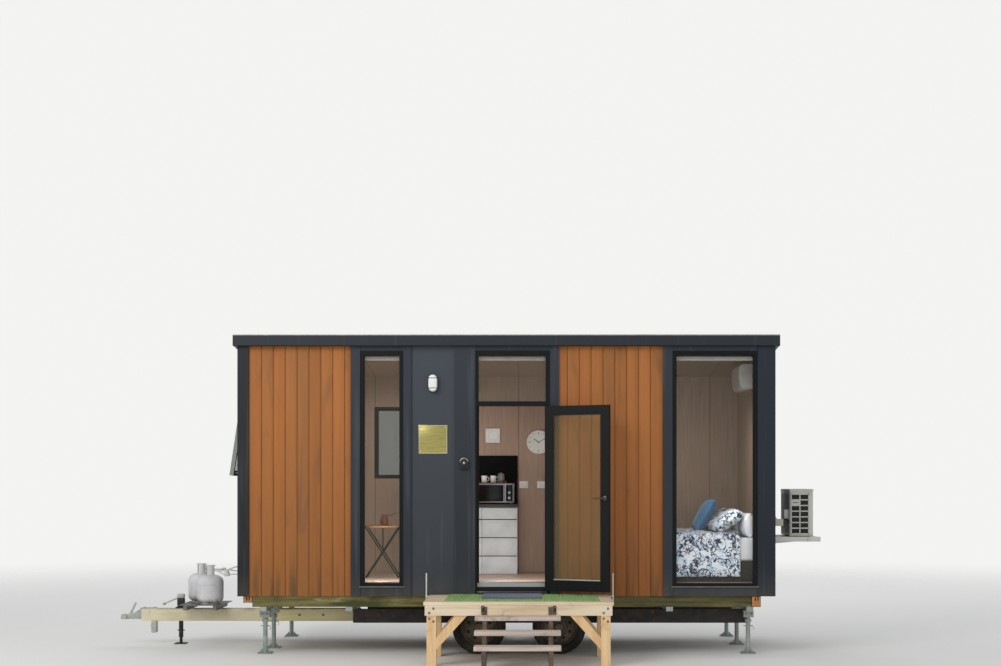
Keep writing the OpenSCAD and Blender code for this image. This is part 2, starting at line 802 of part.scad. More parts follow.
// Front fascia, the two ends that follow the roof, and the back drip
module roof_flashing() {
    front = [y_trim - fascia_out, y_core];
    end_y = [y_core + shadow_gap, y_back - shadow_gap];
    back = [y_back, cabin_w / 2 + fascia_out];
    verge_x = [x_skin, x_end + fascia_out];
    on_site() color(steel) {
        slab([-verge_x[1], verge_x[1]], front, [eave_z, eave_z + fascia_h]);
        for (x = [[-verge_x[1], -verge_x[0]], verge_x]) along_x(x) polygon([
            [end_y[0], ceiling(end_y[0])], [end_y[1], ceiling(end_y[1])],
            [end_y[1], ceiling(end_y[1]) + fascia_h], [end_y[0], ceiling(end_y[0]) + fascia_h]]);
        slab([-verge_x[1], verge_x[1]], back, [ceiling(back[0]), ceiling(back[0]) + roof_t]);
    }
}

// Steel pieces of the front wall and the corner trims
module steel_cladding() {
    tall = [skirt_z, eave_z];
    out = [y_trim, y_core];
    on_site() color(steel) {
        for (x = [[left_panel[1], narrow[0]], [narrow[1], recess[0]], [recess[1], door[0]],
            [door[1], right_panel[0]], [right_panel[1], picture[0]]]) slab(x, out, tall);
        slab([recess[0] + shadow_gap, recess[1] - shadow_gap], [y_board, y_core], tall);
        for (x = [narrow, picture]) slab([x[0] + shadow_gap, x[1] - shadow_gap],
            [y_trim + frame_back, y_core], [skirt_z, sill_z]);
        for (x = [narrow, door, picture]) slab([x[0] + shadow_gap, x[1] - shadow_gap],
            [y_trim + frame_back, y_core], [head_z, eave_z]);
        corner_trim([-x_end, left_panel[0]], [-x_end, -x_skin]);
        corner_trim([picture[1], x_end], [x_skin, x_end]);
        for (x = [[-x_end, -x_end + corner_leg], [x_end - corner_leg, x_end]])
            wall_piece(x, [y_back, cabin_w / 2], skirt_z);
        for (x = [[-x_end, -x_skin], [x_skin, x_end]])
            wall_piece(x, [y_back - corner_leg, y_back + 1], skirt_z);
    }
}

// A front corner trim with its leg along the end wall
module corner_trim(face, leg) {
    slab(face, [y_trim, y_core], [skirt_z, eave_z]);
    wall_piece(leg, [y_core, y_core + corner_leg], skirt_z);
}

module timber_cladding() on_site() color(timber) for (x = [left_panel, right_panel])
    slab(x, [y_board, y_core], [skirt_z, eave_z]);

// Windows

frame_y = [y_trim + frame_back, y_trim + frame_back + frame_d];
pane_y = [frame_y[0] + 30, frame_y[0] + 30 + glass_t];

module front_window_frames() on_site() color(black) for (x = [narrow, picture])
    front_ring(x, frame_y, [sill_z, head_z], stile_w, head_h, bottom_h);

transom_x = [door[0] + jamb_l, door[1] - jamb_r];

module transom_frame() on_site() color(black)
    front_ring(transom_x, [y_trim, y_room], [transom_z, head_z], bead_w, head_h, transom_h);

// The sash's own frame of reference: hinged at the top, along the wall's outer face
module on_sash() translate([-x_skin, 0, awning_z[1]]) rotate([0, awning_open, 0])
    translate([x_skin, 0, -awning_z[1]]) children();

sash_x = [-x_skin - sash_t, -x_skin];

module window_glass() on_site() color("#a8b4b4", 0.35) {
    for (x = [narrow, picture])
        slab([x[0] + stile_w, x[1] - stile_w], pane_y, [sill_z + bottom_h, head_z - head_h]);
    slab([transom_x[0] + bead_w, transom_x[1] - bead_w], pane_y,
        [transom_z + transom_h, head_z - head_h]);
    slab([back_x[0] + stile_w, back_x[1] - stile_w], [y_back - 60, y_back - 60 + glass_t],
        [back_z[0] + stile_w, back_z[1] - stile_w]);
    on_sash() slab([sash_x[0] + 10, sash_x[0] + 10 + glass_t],
        [awning_y[0] + sash_w, awning_y[1] - sash_w], [awning_z[0] + sash_w, awning_z[1] - sash_w]);
}

module side_window_frames() on_site() color(black) {
    front_ring(back_x, [y_room_back, y_back], back_z, stile_w, stile_w, stile_w);
    end_ring([-x_skin, -x_room], awning_y, awning_z, stile_w);
}

module awning_sash() on_site() color(black) {
    on_sash() end_ring(sash_x, awning_y, awning_z, sash_w);
}

// Door

// The right jamb carries the lower knuckles of the hinges
module door_jambs() {
    tall = [skirt_z, head_z];
    step_z = [floor_z, transom_z];
    on_site() color(black) {
        slab([door[0], door[0] + jamb_l], [y_trim, y_room], tall);
        slab([door[0] + jamb_l - 1, door[0] + jamb_l + stop_w], [y_stop, y_room], step_z);
        slab([door[1] - jamb_r, door[1]], [y_trim, y_room], tall);
        slab([door[1] - jamb_r - stop_w, door[1] - jamb_r + 1], [y_stop, y_room], step_z);
        for (z = hinge_z) {
            translate([hinge_x, hinge_y, z]) cylinder(r = knuckle_r, h = knuckle_h, $fn = 32);
            slab([hinge_x, hinge_x + plate_l], [hinge_y, y_trim + 1], [z, z + knuckle_h]);
        }
    }
}

module door_sill() on_site() color("#a9adad") along_x([door[0] + jamb_l, door[1] - jamb_r])
    polygon([[y_trim - sill_nose, skirt_z], [y_room, skirt_z], [y_room, floor_z], [y_stop, floor_z],
        [y_stop, leaf_z[0] - sill_gap], [y_trim - sill_nose, leaf_z[0] - sill_gap]]);

// Turns the closed leaf to its open place
module hung() translate([hinge_x, hinge_y, 0]) rotate([0, 0, door_open])
    translate([-hinge_x, -hinge_y, 0]) children();

module door_leaf() on_site() hung() color(black) {
    front_ring(leaf_x, leaf_y, leaf_z, leaf_stile, leaf_top, leaf_bottom);
    for (z = hinge_z) {
        top = z + knuckle_h + knuckle_gap;
        translate([hinge_x, hinge_y, top]) cylinder(r = knuckle_r, h = knuckle_h, $fn = 32);
        slab([hinge_x - plate_l, hinge_x], [hinge_y, hinge_y + plate_t], [top, top + knuckle_h]);
        slab([hinge_x - plate_l, leaf_x[1] - 2], [hinge_y, leaf_y[0] + 1], [top, top + knuckle_h]);
    }
}

module door_glass() on_site() hung() color("#a8b4b4", 0.35)
    slab([leaf_x[0] + leaf_stile, leaf_x[1] - leaf_stile],
        [(leaf_y[0] + leaf_y[1] - glass_t) / 2, (leaf_y[0] + leaf_y[1] + glass_t) / 2],
        [leaf_z[0] + leaf_bottom, leaf_z[1] - leaf_top]);

// A lever handle on each face of the leaf
module door_handle() {
    x = leaf_x[0] + leaf_stile / 2;
    z = floor_z + handle_up;
    rose_r = 26;
    neck_r = 9;
    neck_l = 48;
    on_site() hung() color("#c2c5c4") for (side = [[leaf_y[0], -1], [leaf_y[1], 1]])
        translate([x, side[0], z]) {
            rotate([-side[1] * 90, 0, 0]) cylinder(r = rose_r, h = 9, $fn = 48);
            rotate([-side[1] * 90, 0, 0]) cylinder(r = neck_r, h = neck_l, $fn = 32);
            translate([-neck_r, side[1] * (neck_l - 8), 0]) rotate([0, 90, 0])
                cylinder(r = 8, h = lever_l, $fn = 32);
        }
}

// Fittings on the outside

recess_mid = (recess[0] + recess[1]) / 2;

module wall_light() {
    back_r = 54;
    half_h = 45;
    depth = 28;
    lens_r = 40;
    lens_h = 55;
    on_site() translate([recess_mid, y_board, floor_z + light_up]) rotate([90, 0, 0]) {
        color(black) {
            slab([-back_r, back_r], [-half_h, half_h], [0, depth]);
            for (s = [-1, 1]) translate([0, s * half_h, 0]) cylinder(r = back_r, h = depth, $fn = 48);
        }
        color("white") {
            slab([-lens_r, lens_r], [-half_h, half_h], [depth - 1, depth + lens_h]);
            for (s = [-1, 1]) translate([0, s * half_h, depth - 1])
                cylinder(r = lens_r, h = lens_h + 1, $fn = 48);
        }
    }
}

module sign_plate() on_site() color("#beb46e")
    slab([recess_mid - sign_w / 2, recess_mid + sign_w / 2], [y_board - 6, y_board],
        [floor_z + sign_up, floor_z + sign_up + sign_w]);

module key_box() {
    x = door[0] - door_trim_w / 2 - 8;
    z = floor_z + key_up;
    on_site() color("#2a2d30") slab([x - 46, x + 46], [y_trim - 45, y_trim], [z - 64, z + 64]);
}

shelf_z = floor_z + shelf_up;
shelf_t = 28;
unit_x = [x_skin + unit_off, x_skin + unit_off + unit_d];
unit_y = [y_trim + unit_from, y_trim + unit_from + unit_l];

// The case with its round fan guard on the outer side
module outdoor_unit() {
    fan_r = unit_h * 0.42;
    guard_t = 18;
    on_site() color("#c8c8be") {
        slab(unit_x, unit_y, [shelf_z + shelf_t, shelf_z + shelf_t + unit_h]);
        translate([unit_x[1] - 1, unit_y[0] + unit_h / 2, shelf_z + shelf_t + unit_h / 2])
            rotate([0, 90, 0]) cylinder(r = fan_r, h = guard_t + 1, $fn = 96);
    }
}

module outdoor_unit_shelf() {
    bracket_t = 40;
    drop = 55;
    tip = 6;
    on_site() color("#d8d8d2") {
        slab([x_skin, x_skin + shelf_out], [unit_y[0] - 30, unit_y[1] + 30], [shelf_z, shelf_z + shelf_t]);
        for (y = [unit_y[0] + 60, unit_y[1] - 60 - bracket_t]) translate([0, y + bracket_t, 0])
            rotate([90, 0, 0]) linear_extrude(bracket_t) polygon([[x_skin, shelf_z - drop],
                [x_skin + 30, shelf_z - drop], [x_skin + shelf_out - 60, shelf_z - tip],
                [x_skin + shelf_out - 60, shelf_z + 1], [x_skin, shelf_z + 1]]);
    }
}

module indoor_unit() {
    y = [indoor_y, indoor_y + indoor_l];
    indoor_gap = 56;
    top = ceiling(y[1]) - indoor_gap;
    slant = indoor_d * 0.35;
    on_site() color("#e2e3df") translate([0, y[1], 0]) rotate([90, 0, 0]) linear_extrude(indoor_l)
        polygon([[x_room, top], [x_room, top - indoor_h], [x_room - indoor_d + slant, top - indoor_h],
            [x_room - indoor_d, top - indoor_h + slant], [x_room - indoor_d, top - 20],
            [x_room - indoor_d + 20, top]]);
}

bottle_z = rail_top + tray_t;
valve_r = 16;

// A gas bottle with its foot ring, shoulder and collar
module gas_bottle() {
    ring_h = 35;
    shoulder = 75;
    collar_r = 58;
    rotate_extrude($fn = 72) polygon([[0, 20], [bottle_r - 45, 20], [bottle_r - 45, 0],
        [bottle_r - 35, 0], [bottle_r - 35, ring_h], [bottle_r, ring_h + 25],
        [bottle_r, bottle_h - shoulder], [bottle_r - 12, bottle_h - shoulder / 2],
        [bottle_r - 45, bottle_h - 12], [bottle_r - 85, bottle_h], [0, bottle_h]]);
    translate([0, 0, bottle_h - 1]) difference() {
        cylinder(r = collar_r, h = collar_h + 1, $fn = 48);
        translate([0, 0, 1]) cylinder(r = collar_r - 5, h = collar_h + 1, $fn = 48);
        slab([0, collar_r + 1], [-35, 35], [20, collar_h + 2]);
    }
    translate([0, 0, bottle_h - 1]) cylinder(r = valve_r, h = collar_h * 0.7, $fn = 24);
}

module gas_bottles() on_site() color("#c4c4be") for (i = [0, 1])
    translate([bottle_x[i], bottle_y[i], bottle_z]) gas_bottle();

// Pipes from the bottles' valves through a tee and the regulator to the end wall
module gas_pipes() {
    pipe_r = 7;
    nut = 24;
    tee = 34;
    regulator = [70, 50, 44];
    box_out = 140;
    valve_z = bottle_z + bottle_h + collar_h * 0.45;
    joint = [bottle_x[1] + bottle_r - 30, 20, valve_z + 5];
    box_pt = [-x_skin - box_out, 60, valve_z - 35];
    on_site() color("#dcdcd6") {
        for (i = [0, 1]) {
            valve = [bottle_x[i] + valve_r - 1, bottle_y[i], valve_z];
            elbow = valve + [70, 0, 0];
            bar(valve, elbow, pipe_r);
            translate(elbow) cube(nut, center = true);
            bar(elbow, joint, pipe_r);
        }
        translate(joint) cube(tee, center = true);
        bar(joint, box_pt, pipe_r);
        translate(box_pt) cube(regulator, center = true);
        bar(box_pt, [-x_skin, box_pt[1], box_pt[2]], pipe_r);
    }
}

// Landing and steps

module landing_boards() {
    pitch = (landing_d - plank_w) / (planks - 1);
    on_site() color(pine) for (i = [0:planks - 1]) {
        y = landing_y[0] + i * pitch;
        slab(landing_ends, [y, y + plank_w], [joist_z[1], landing_z]);
    }
}

module landing_frame() {
    x = [landing_ends[0] + plank_over, landing_ends[1] - plank_over];
    y = [landing_y[0] + fascia_in, landing_y[1] - fascia_in];
    inner_y = [y[0] + skirt_t + shadow_gap, y[1] - skirt_t - shadow_gap];
    joists = 5;
    pitch = (x[1] - x[0] - skirt_t) / (joists - 1);
    on_site() color("#e0c6ac") {
        slab(x, [y[0], y[0] + skirt_t], joist_z);
        slab(x, [y[1] - skirt_t, y[1]], joist_z);
        for (i = [0:joists - 1]) slab([x[0] + i * pitch, x[0] + i * pitch + skirt_t], inner_y, joist_z);
    }
}

// A square post in each corner, with a brace towards the landing's middle
module landing_legs() {
    brace_h = 90;
    brace_low = 170;
    left = landing_ends[0] + post_in;
    right = landing_ends[1] - post_in;
    front = landing_y[0] + fascia_in + 10;
    back = landing_y[1] - fascia_in - 10 - post_w;
    top = joist_z[0];
    on_site() color("#d7a569") for (y = [front, back]) {
        for (x = [left, right - post_w]) slab([x, x + post_w], [y, y + post_w], [0, top]);
        translate([0, y + post_w / 2, 0]) rotate([90, 0, 0]) linear_extrude(skirt_t) {
            polygon([[left + post_w - 1, brace_low], [left + post_w - 1, brace_low + brace_h * 1.4],
                [left + brace_reach, top], [left + brace_reach + brace_h * 1.4, top]]);
            polygon([[right - post_w + 1, brace_low], [right - post_w + 1, brace_low + brace_h * 1.4],
                [right - brace_reach, top], [right - brace_reach - brace_h * 1.4, top]]);
        }
    }
}

function tread_top(i) = landing_z - (i + 1) * rise;
function tread_front(i) = landing_y[0] - (i + 1) * going;

hanger_t = 6;
hanger_lap = 60;
stringer_back = landing_y[0] + fascia_in - hanger_t;
function riser(i) = i == 0 ? stringer_back : tread_front(i - 1) + tread_nose;

// The highest tread ends clear of the hangers
module step_treads() on_site() color("#c8b9af") for (i = [0:treads - 1])
    slab([tread_x, tread_x + tread_l], [tread_front(i), i == 0 ? riser(i) - 1 : riser(i)],
        [tread_top(i) - tread_t, tread_top(i)]);

// Cut stringers: a flat under each tread, a slanted underside down to the ground,
// and a hanger plate up to the landing's fascia
module step_stringers() {
    last = treads - 1;
    foot_l = 250;
    heel_h = 220;
    heel_z = tread_top(0) - tread_t - heel_h;
    front = tread_front(last) + tread_nose;
    outline = concat(
        [for (i = [0:last], k = [0, 1])
            [k == 0 ? riser(i) : tread_front(i) + tread_nose, tread_top(i) - tread_t]],
        [[front, 0], [front + foot_l, 0], [stringer_back, heel_z]]);
    on_site() color("#b9a084") for (x = stringer_x) {
        along_x([x, x + stringer_t]) polygon(outline);
        slab([x, x + stringer_t], [stringer_back, stringer_back + hanger_t],
            [heel_z + hanger_lap, joist_z[1] - 12]);
    }
}

module landing_mat() on_site() color("#69964c")
    slab([landing_ends[0] + mat_left, landing_ends[1] - mat_margin],
        [landing_y[0] + 40, landing_y[1] - 20], [landing_z, landing_z + mat_t]);

// Room

bench_x = [bench_end - bench_l, bench_end];
bench_y = y_room_back - bench_d;
worktop_z = floor_z + bench_h;

// Carcass with drawer fronts, worktop and splashback
module kitchen_bench() {
    front_t = 18;
    gap = 4;
    columns = 3;
    rows = [0.18, 0.274, 0.274, 0.272];
    carcass_h = bench_h - worktop_t;
    column_w = bench_l / columns;
    top_of = [for (i = 0, z = carcass_h; i < 4; z = z - rows[i] * carcass_h, i = i + 1) z];
    on_site() {
        color("#afb2b2") {
            slab(bench_x, [bench_y + front_t, y_room_back], [floor_z, floor_z + carcass_h]);
            for (c = [0:columns - 1], r = [0:3]) {
                x = bench_x[0] + c * column_w;
                z = floor_z + top_of[r];
                slab([x + gap / 2, x + column_w - gap / 2], [bench_y, bench_y + front_t + 1],
                    [z - rows[r] * carcass_h + gap, z - gap]);
            }
        }
        color("#3a3836") slab([bench_x[0], bench_x[1] + 8], [bench_y - 15, y_room_back],
            [floor_z + carcass_h, worktop_z]);
        color("#0e0f10") slab([bench_x[0], bench_x[1]], [y_room_back - 12, y_room_back],
            [worktop_z - 1, worktop_z + splash_h]);
    }
}

module microwave() {
    wall_gap = 125;
    oven_back = y_room_back - wall_gap;
    on_site() color("#bfc2c4") slab([bench_end - oven_in - oven_l, bench_end - oven_in],
        [oven_back - oven_d, oven_back], [worktop_z, worktop_z + oven_h]);
}

// Round clock, square plaque and two switch plates on the back wall
module wall_clock() {
    plaque_x = bench_end - plaque_from;
    plaque_z = floor_z + plaque_up;
    switch_x = [bench_end + 20, bench_end + clock_from - 19];
    on_site() color("#e8e8e4") {
        translate([bench_end + clock_from, y_room_back, floor_z + clock_up]) rotate([90, 0, 0])
            cylinder(r = clock_r, h = clock_t, $fn = 72);
        slab([plaque_x - plaque_w / 2, plaque_x + plaque_w / 2],
            [y_room_back - clock_t * 0.67, y_room_back],
            [plaque_z - plaque_w / 2, plaque_z + plaque_w / 2]);
        for (x = switch_x) slab([x, x + switch_l], [y_room_back - clock_t / 3, y_room_back],
            [floor_z + switch_up, floor_z + switch_up + switch_h]);
    }
}

// Round top on two pairs of crossed legs with a pin where they cross
module folding_table() {
    top_t = 22;
    leg_r = 8;
    foot_r = 9;
    spread = 190;
    pair = [130, 108];
    leg_top = table_h - top_t;
    middle = (foot_r + leg_top) / 2 + leg_r / 2;
    on_site() translate([-x_end + table_at, table_y, floor_z]) {
        color("#7a5a3c") translate([0, 0, leg_top]) cylinder(r = table_r, h = top_t, $fn = 72);
        color(black) {
            for (i = [0, 1]) {
                s = 1 - 2 * i;
                for (y = [-pair[i], pair[i]])
                    bar([s * spread, y, foot_r], [-s * spread, y, leg_top + leg_r], leg_r);
                bar([s * spread, -pair[i] - 12, foot_r], [s * spread, pair[i] + 12, foot_r], foot_r);
            }
            bar([0, -pair[0], middle], [0, pair[0], middle], leg_r / 2);
        }
    }
}

bed_x = [x_room - bed_l, x_room];
bed_y = [y_room + bed_gap, y_room + bed_gap + bed_w];
base_z = floor_z + bed_base_h;
mattress_z = base_z + mattress_t;

module bed_base() on_site() color("#2a2622") slab(bed_x, bed_y, [floor_z, base_z]);

module mattress() on_site() color("#d8dade") slab(bed_x, bed_y, [base_z, mattress_z]);

// The duvet lies on the mattress and hangs down at the bed's front side
module duvet() {
    drape_t = bed_gap * 0.55;
    x = [bed_x[0], bed_x[1] - duvet_off];
    top = mattress_z + duvet_t;
    on_site() color("#c8d7e1") {
        slab(x, [bed_y[0] - drape_t, bed_y[1]], [mattress_z, top]);
        slab(x, [bed_y[0] - drape_t, bed_y[0] - 1], [top - duvet_t - duvet_hang, mattress_z + 1]);
    }
}

// A plump block that leans back towards the head of the bed
module leaning(place, size, angle)
    translate(place + [0, 0, size[0] * sin(angle)]) rotate([0, angle, 0]) cube(size);

// Two white pillows at the head, a pillow that leans on them and a cushion behind it
module pillows() {
    head_gap = 12;
    lean_tilt = 55;
    cushion_tilt = 30;
    top = mattress_z + duvet_t;
    near_y = bed_y[0] + pillow_in;
    far_y = near_y + pillow_l + pillow_in;
    cushion_y = far_y - head_gap;
    head_x = [bed_x[1] - duvet_off + head_gap, bed_x[1] - head_gap / 2];
    on_site() {
        color("white") for (y = [near_y, far_y])
            slab(head_x, [y, y + pillow_l], [mattress_z, mattress_z + pillow_h]);
        color("#c8d7e1") leaning([head_x[0] - lean_out, near_y, top], [lean_t, lean_l, lean_h], lean_tilt);
        color("#557896") leaning([head_x[0] - cushion_out, cushion_y, top],
            [cushion_t, cushion_l, cushion_h], cushion_tilt);
    }
}

chassis_rails();
chassis_crossmembers();
drawbar();
bottle_tray();
tow_coupling();
jockey_leg();
axles();
wheel_front_left();
wheel_front_right();
wheel_back_left();
wheel_back_right();
stabiliser_legs();
floor_bearers();
floor_joists();
marker_lamps();
floor_panel();
front_wall();
front_wall_header();
front_wall_base();
left_end_wall();
right_end_wall();
back_wall();
roof_panel();
roof_flashing();
steel_cladding();
timber_cladding();
front_window_frames();
transom_frame();
window_glass();
door_jambs();
door_sill();
door_leaf();
door_glass();
door_handle();
side_window_frames();
awning_sash();
wall_light();
sign_plate();
key_box();
outdoor_unit();
outdoor_unit_shelf();
indoor_unit();
gas_bottles();
gas_pipes();
landing_boards();
landing_frame();
landing_legs();
step_stringers();
step_treads();
landing_mat();
kitchen_bench();
microwave();
wall_clock();
folding_table();
bed_base();
mattress();
duvet();
pillows();
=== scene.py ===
"""A tiny cabin on a tandem-axle trailer, with its landing and steps.

Lengths are in metres and places are in the model's own frame: +X to the right along the front,
+Y to the back, +Z up, with the origin under the middle of the footprint.
"""

import math

import bpy
from mathutils import Matrix, Vector, noise


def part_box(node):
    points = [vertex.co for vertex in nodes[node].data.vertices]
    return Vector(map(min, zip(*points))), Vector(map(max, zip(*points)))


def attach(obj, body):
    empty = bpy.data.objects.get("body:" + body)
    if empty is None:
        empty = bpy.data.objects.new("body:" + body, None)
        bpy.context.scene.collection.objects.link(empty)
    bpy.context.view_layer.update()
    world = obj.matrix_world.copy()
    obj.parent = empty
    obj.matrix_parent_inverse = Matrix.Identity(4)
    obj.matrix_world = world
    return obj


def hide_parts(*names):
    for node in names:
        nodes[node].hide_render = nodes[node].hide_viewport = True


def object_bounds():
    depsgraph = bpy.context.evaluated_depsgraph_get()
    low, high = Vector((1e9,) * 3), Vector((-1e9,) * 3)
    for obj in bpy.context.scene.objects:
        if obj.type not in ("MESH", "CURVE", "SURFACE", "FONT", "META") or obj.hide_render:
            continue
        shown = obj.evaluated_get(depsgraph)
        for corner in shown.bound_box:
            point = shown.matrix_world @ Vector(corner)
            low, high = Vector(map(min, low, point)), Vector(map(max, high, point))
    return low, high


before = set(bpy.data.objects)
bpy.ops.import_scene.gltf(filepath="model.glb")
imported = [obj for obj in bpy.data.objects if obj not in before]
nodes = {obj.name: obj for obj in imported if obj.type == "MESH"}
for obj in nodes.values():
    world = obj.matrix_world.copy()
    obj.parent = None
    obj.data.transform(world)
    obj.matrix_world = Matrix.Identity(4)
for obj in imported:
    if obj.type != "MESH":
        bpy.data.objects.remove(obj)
cad_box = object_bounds()

# ---------------------------------------------------------------- measures

CABIN = Vector((0.480, 0.8125, 0.0))
LEFT_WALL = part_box("left_end_wall")[0].x
RIGHT_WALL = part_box("right_end_wall")[1].x
BACK_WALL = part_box("back_wall")[1].y
FLOOR_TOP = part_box("floor_panel")[1].z
WALL_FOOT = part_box("floor_panel")[0].z
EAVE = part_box("steel_cladding")[1].z
ROOF_FALL = math.tan(math.radians(5))
QUARTER_TURN = math.pi / 2


def at(x, y, z):
    """A place measured from the middle of the cabin's plan."""
    return CABIN + Vector((x, y, z))


def rgb(red, green, blue):
    """A colour given as 0 to 255, for a shader."""
    def linear(value):
        value /= 255
        return value / 12.92 if value <= 0.04045 else ((value + 0.055) / 1.055) ** 2.4

    return (linear(red), linear(green), linear(blue), 1.0)


def dimmed(base, share):
    """A colour given as 0 to 255 and made darker, for a shader."""
    return rgb(*(int(value * share) for value in base))


# ---------------------------------------------------------------- finishes


class Finish:
    """A material with a Principled shader and short calls for its nodes."""

    def __init__(self, name, roughness=0.5, metallic=0.0, specular=0.5):
        self.material = bpy.data.materials.new(name)
        self.material.use_nodes = True
        self.tree = self.material.node_tree
        self.shader = self.tree.nodes["Principled BSDF"]
        self.shader.inputs["Roughness"].default_value = roughness
        self.shader.inputs["Metallic"].default_value = metallic
        self.shader.inputs["Specular IOR Level"].default_value = specular
        self.source = self.tree.nodes.new("ShaderNodeTexCoord")

    def add(self, kind, **settings):
        node = self.tree.nodes.new(kind)
        for key, value in settings.items():
            setattr(node, key, value)
        return node

    def join(self, output, socket):
        self.tree.links.new(output, socket)
        return self

    def place(self, stretch=(1, 1, 1)):
        """Object coordinates, stretched."""
        mapping = self.add("ShaderNodeMapping")
        mapping.inputs["Scale"].default_value = stretch
        self.join(self.source.outputs["Object"], mapping.inputs["Vector"])
        return mapping.outputs["Vector"]

    def along(self, axis, of="Object"):
        """One coordinate of the object, or of its normal."""
        split = self.add("ShaderNodeSeparateXYZ")
        self.join(self.source.outputs[of], split.inputs[0])
        return split.outputs[axis]

    def cloud(self, scale, stretch=(1, 1, 1), detail=4.0, rough=0.55, warp=0.0):
        texture = self.add("ShaderNodeTexNoise")
        texture.inputs["Scale"].default_value = scale
        texture.inputs["Detail"].default_value = detail
        texture.inputs["Roughness"].default_value = rough
        texture.inputs["Distortion"].default_value = warp
        self.join(self.place(stretch), texture.inputs["Vector"])
        return texture.outputs["Fac"]

    def cells(self, scale, stretch=(1, 1, 1), feature="F1", output="Distance"):
        texture = self.add("ShaderNodeTexVoronoi", feature=feature)
        texture.inputs["Scale"].default_value = scale
        self.join(self.place(stretch), texture.inputs["Vector"])
        return texture.outputs[output]

    def maths(self, operation, first, second=0.5):
        node = self.add("ShaderNodeMath", operation=operation)
        for socket, value in zip(node.inputs, (first, second)):
            if isinstance(value, (int, float)):
                socket.default_value = value
            else:
                self.join(value, socket)
        return node.outputs[0]

    def times(self, first, second):
        return self.maths("MULTIPLY", first, second)

    def between(self, value, low, high, smooth=True):
        """0 below low, 1 above high."""
        node = self.add("ShaderNodeMapRange", clamp=True)
        if smooth:
            node.interpolation_type = "SMOOTHSTEP"
        self.join(value, node.inputs["Value"])
        node.inputs["From Min"].default_value = low
        node.inputs["From Max"].default_value = high
        return node.outputs["Result"]

    def tones(self, value, *stops):
        """A colour ramp: each stop is (place, colour)."""
        ramp = self.add("ShaderNodeValToRGB").color_ramp
        while len(ramp.elements) < len(stops):
            ramp.elements.new(0.5)
        for element, (place, colour) in zip(ramp.elements, stops):
            element.position = place
            element.color = colour
        node = self.tree.nodes[-1]
        self.join(value, node.inputs["Fac"])
        return node.outputs["Color"]

    def mixed(self, amount, first, second, blend="MIX"):
        node = self.add("ShaderNodeMix", data_type="RGBA", blend_type=blend)
        for socket, value in ((node.inputs["Factor"], amount), (node.inputs[6], first),
                              (node.inputs[7], second)):
            if isinstance(value, (int, float, tuple)):
                socket.default_value = value
            else:
                self.join(value, socket)
        return node.outputs[2]

    def colour(self, output):
        return self.join(output, self.shader.inputs["Base Color"])

    def rough(self, value, low, high):
        """Roughness that runs from low to high with a value."""
        node = self.add("ShaderNodeMapRange", clamp=True)
        self.join(value, node.inputs["Value"])
        node.inputs["To Min"].default_value = low
        node.inputs["To Max"].default_value = high
        return self.join(node.outputs["Result"], self.shader.inputs["Roughness"])

    def relief(self, height, strength=0.3, distance=0.002):
        bump = self.add("ShaderNodeBump")
        bump.inputs["Strength"].default_value = strength
        bump.inputs["Distance"].default_value = distance
        self.join(height, bump.inputs["Height"])
        return self.join(bump.outputs["Normal"], self.shader.inputs["Normal"])


def simple(name, roughness, tone, metallic=0.0, height=None, strength=0.12, distance=0.0004):
    """A finish whose tone, and height where it has relief, are worked out from its own nodes."""
    finish = Finish(name, roughness, metallic)
    finish.colour(tone(finish))
    if height:
        finish.relief(height(finish), strength, distance)
    return finish.material


def coated_steel(name, upper, lower, inside=None, bands=()):
    """Satin sheet that is a little dustier low down, and darker towards the bottom as painted
    shade. inside is the normal's axis and side on which the same wall shows its plywood lining, and
    bands are spans of X with their own tone, a darker band being painted shade."""
    steel = Finish(name, 0.5, 0.0, 0.35)
    # Painted shade: the sheet darkens from 3.3 m down to 0.7 m.
    low = steel.between(steel.along("Z"), 3.3, 0.7, smooth=False)
    cloud = steel.cloud(1.1, (1, 1, 0.35), 3)
    tone = steel.mixed(low, rgb(*upper), rgb(*lower))
    tone = steel.mixed(steel.between(cloud, 0.3, 0.75), tone,
                       steel.mixed(0.82, rgb(*lower), rgb(*upper)))
    # Each band carries its own tone of the same sheet; the darker ones are painted shade.
    for left, right, own in bands:
        within = steel.times(steel.between(steel.along("X"), left, left + 0.001),
                             steel.between(steel.along("X"), right, right - 0.001))
        tone = steel.mixed(within, tone, steel.mixed(low, rgb(*own), dimmed(own, 0.84)))
    dust = steel.times(steel.between(steel.along("Z"), 1.0, 0.6), steel.cloud(9, (1, 1, 0.3)))
    tone = steel.mixed(steel.times(dust, 0.55), tone, rgb(92, 88, 76))
    streaks = steel.cloud(14, (1, 1, 0.04), 2)
    tone = steel.mixed(steel.times(steel.between(streaks, 0.56, 0.75), 0.16), tone,
                       rgb(104, 110, 116))
    fine = steel.cloud(260, (1, 1, 1), 2)
    if inside:
        axis, side = inside
        facing = steel.times(steel.along(axis, "Normal"), float(side))
        lined = steel.between(facing, 0.4, 0.6, smooth=False)
        tone = steel.mixed(lined, tone, plywood_tone(steel, "Y" if axis == "X" else "X"))
    steel.colour(tone)
    steel.rough(cloud, 0.4, 0.56)
    steel.relief(fine, 0.12, 0.0006)
    return steel.material


def plywood_tone(finish, run="X"):
    """Pale pinkish plywood in upright sheets with a fine groove between them."""
    stretch = (1, 1, 0.08)
    grain = finish.cloud(38, stretch, 5, 0.6, 0.4)
    wide = finish.cloud(5, (1, 1, 0.15), 3, 0.5, 0.8)
    tone = finish.tones(grain, (0.25, rgb(146, 122, 106)), (0.75, rgb(168, 146, 130)))
    tone = finish.mixed(finish.between(wide, 0.4, 0.7), tone, rgb(160, 134, 116))
    sheet = finish.maths("PINGPONG", finish.along(run), 0.3)
    return finish.mixed(finish.between(sheet, 0.006, 0.002), tone, rgb(98, 78, 66))


def plywood(name):
    lining = Finish(name, 0.55)
    lining.colour(plywood_tone(lining))
    lining.relief(lining.cloud(60, (1, 1, 0.06), 3), 0.12, 0.0008)
    return lining.material


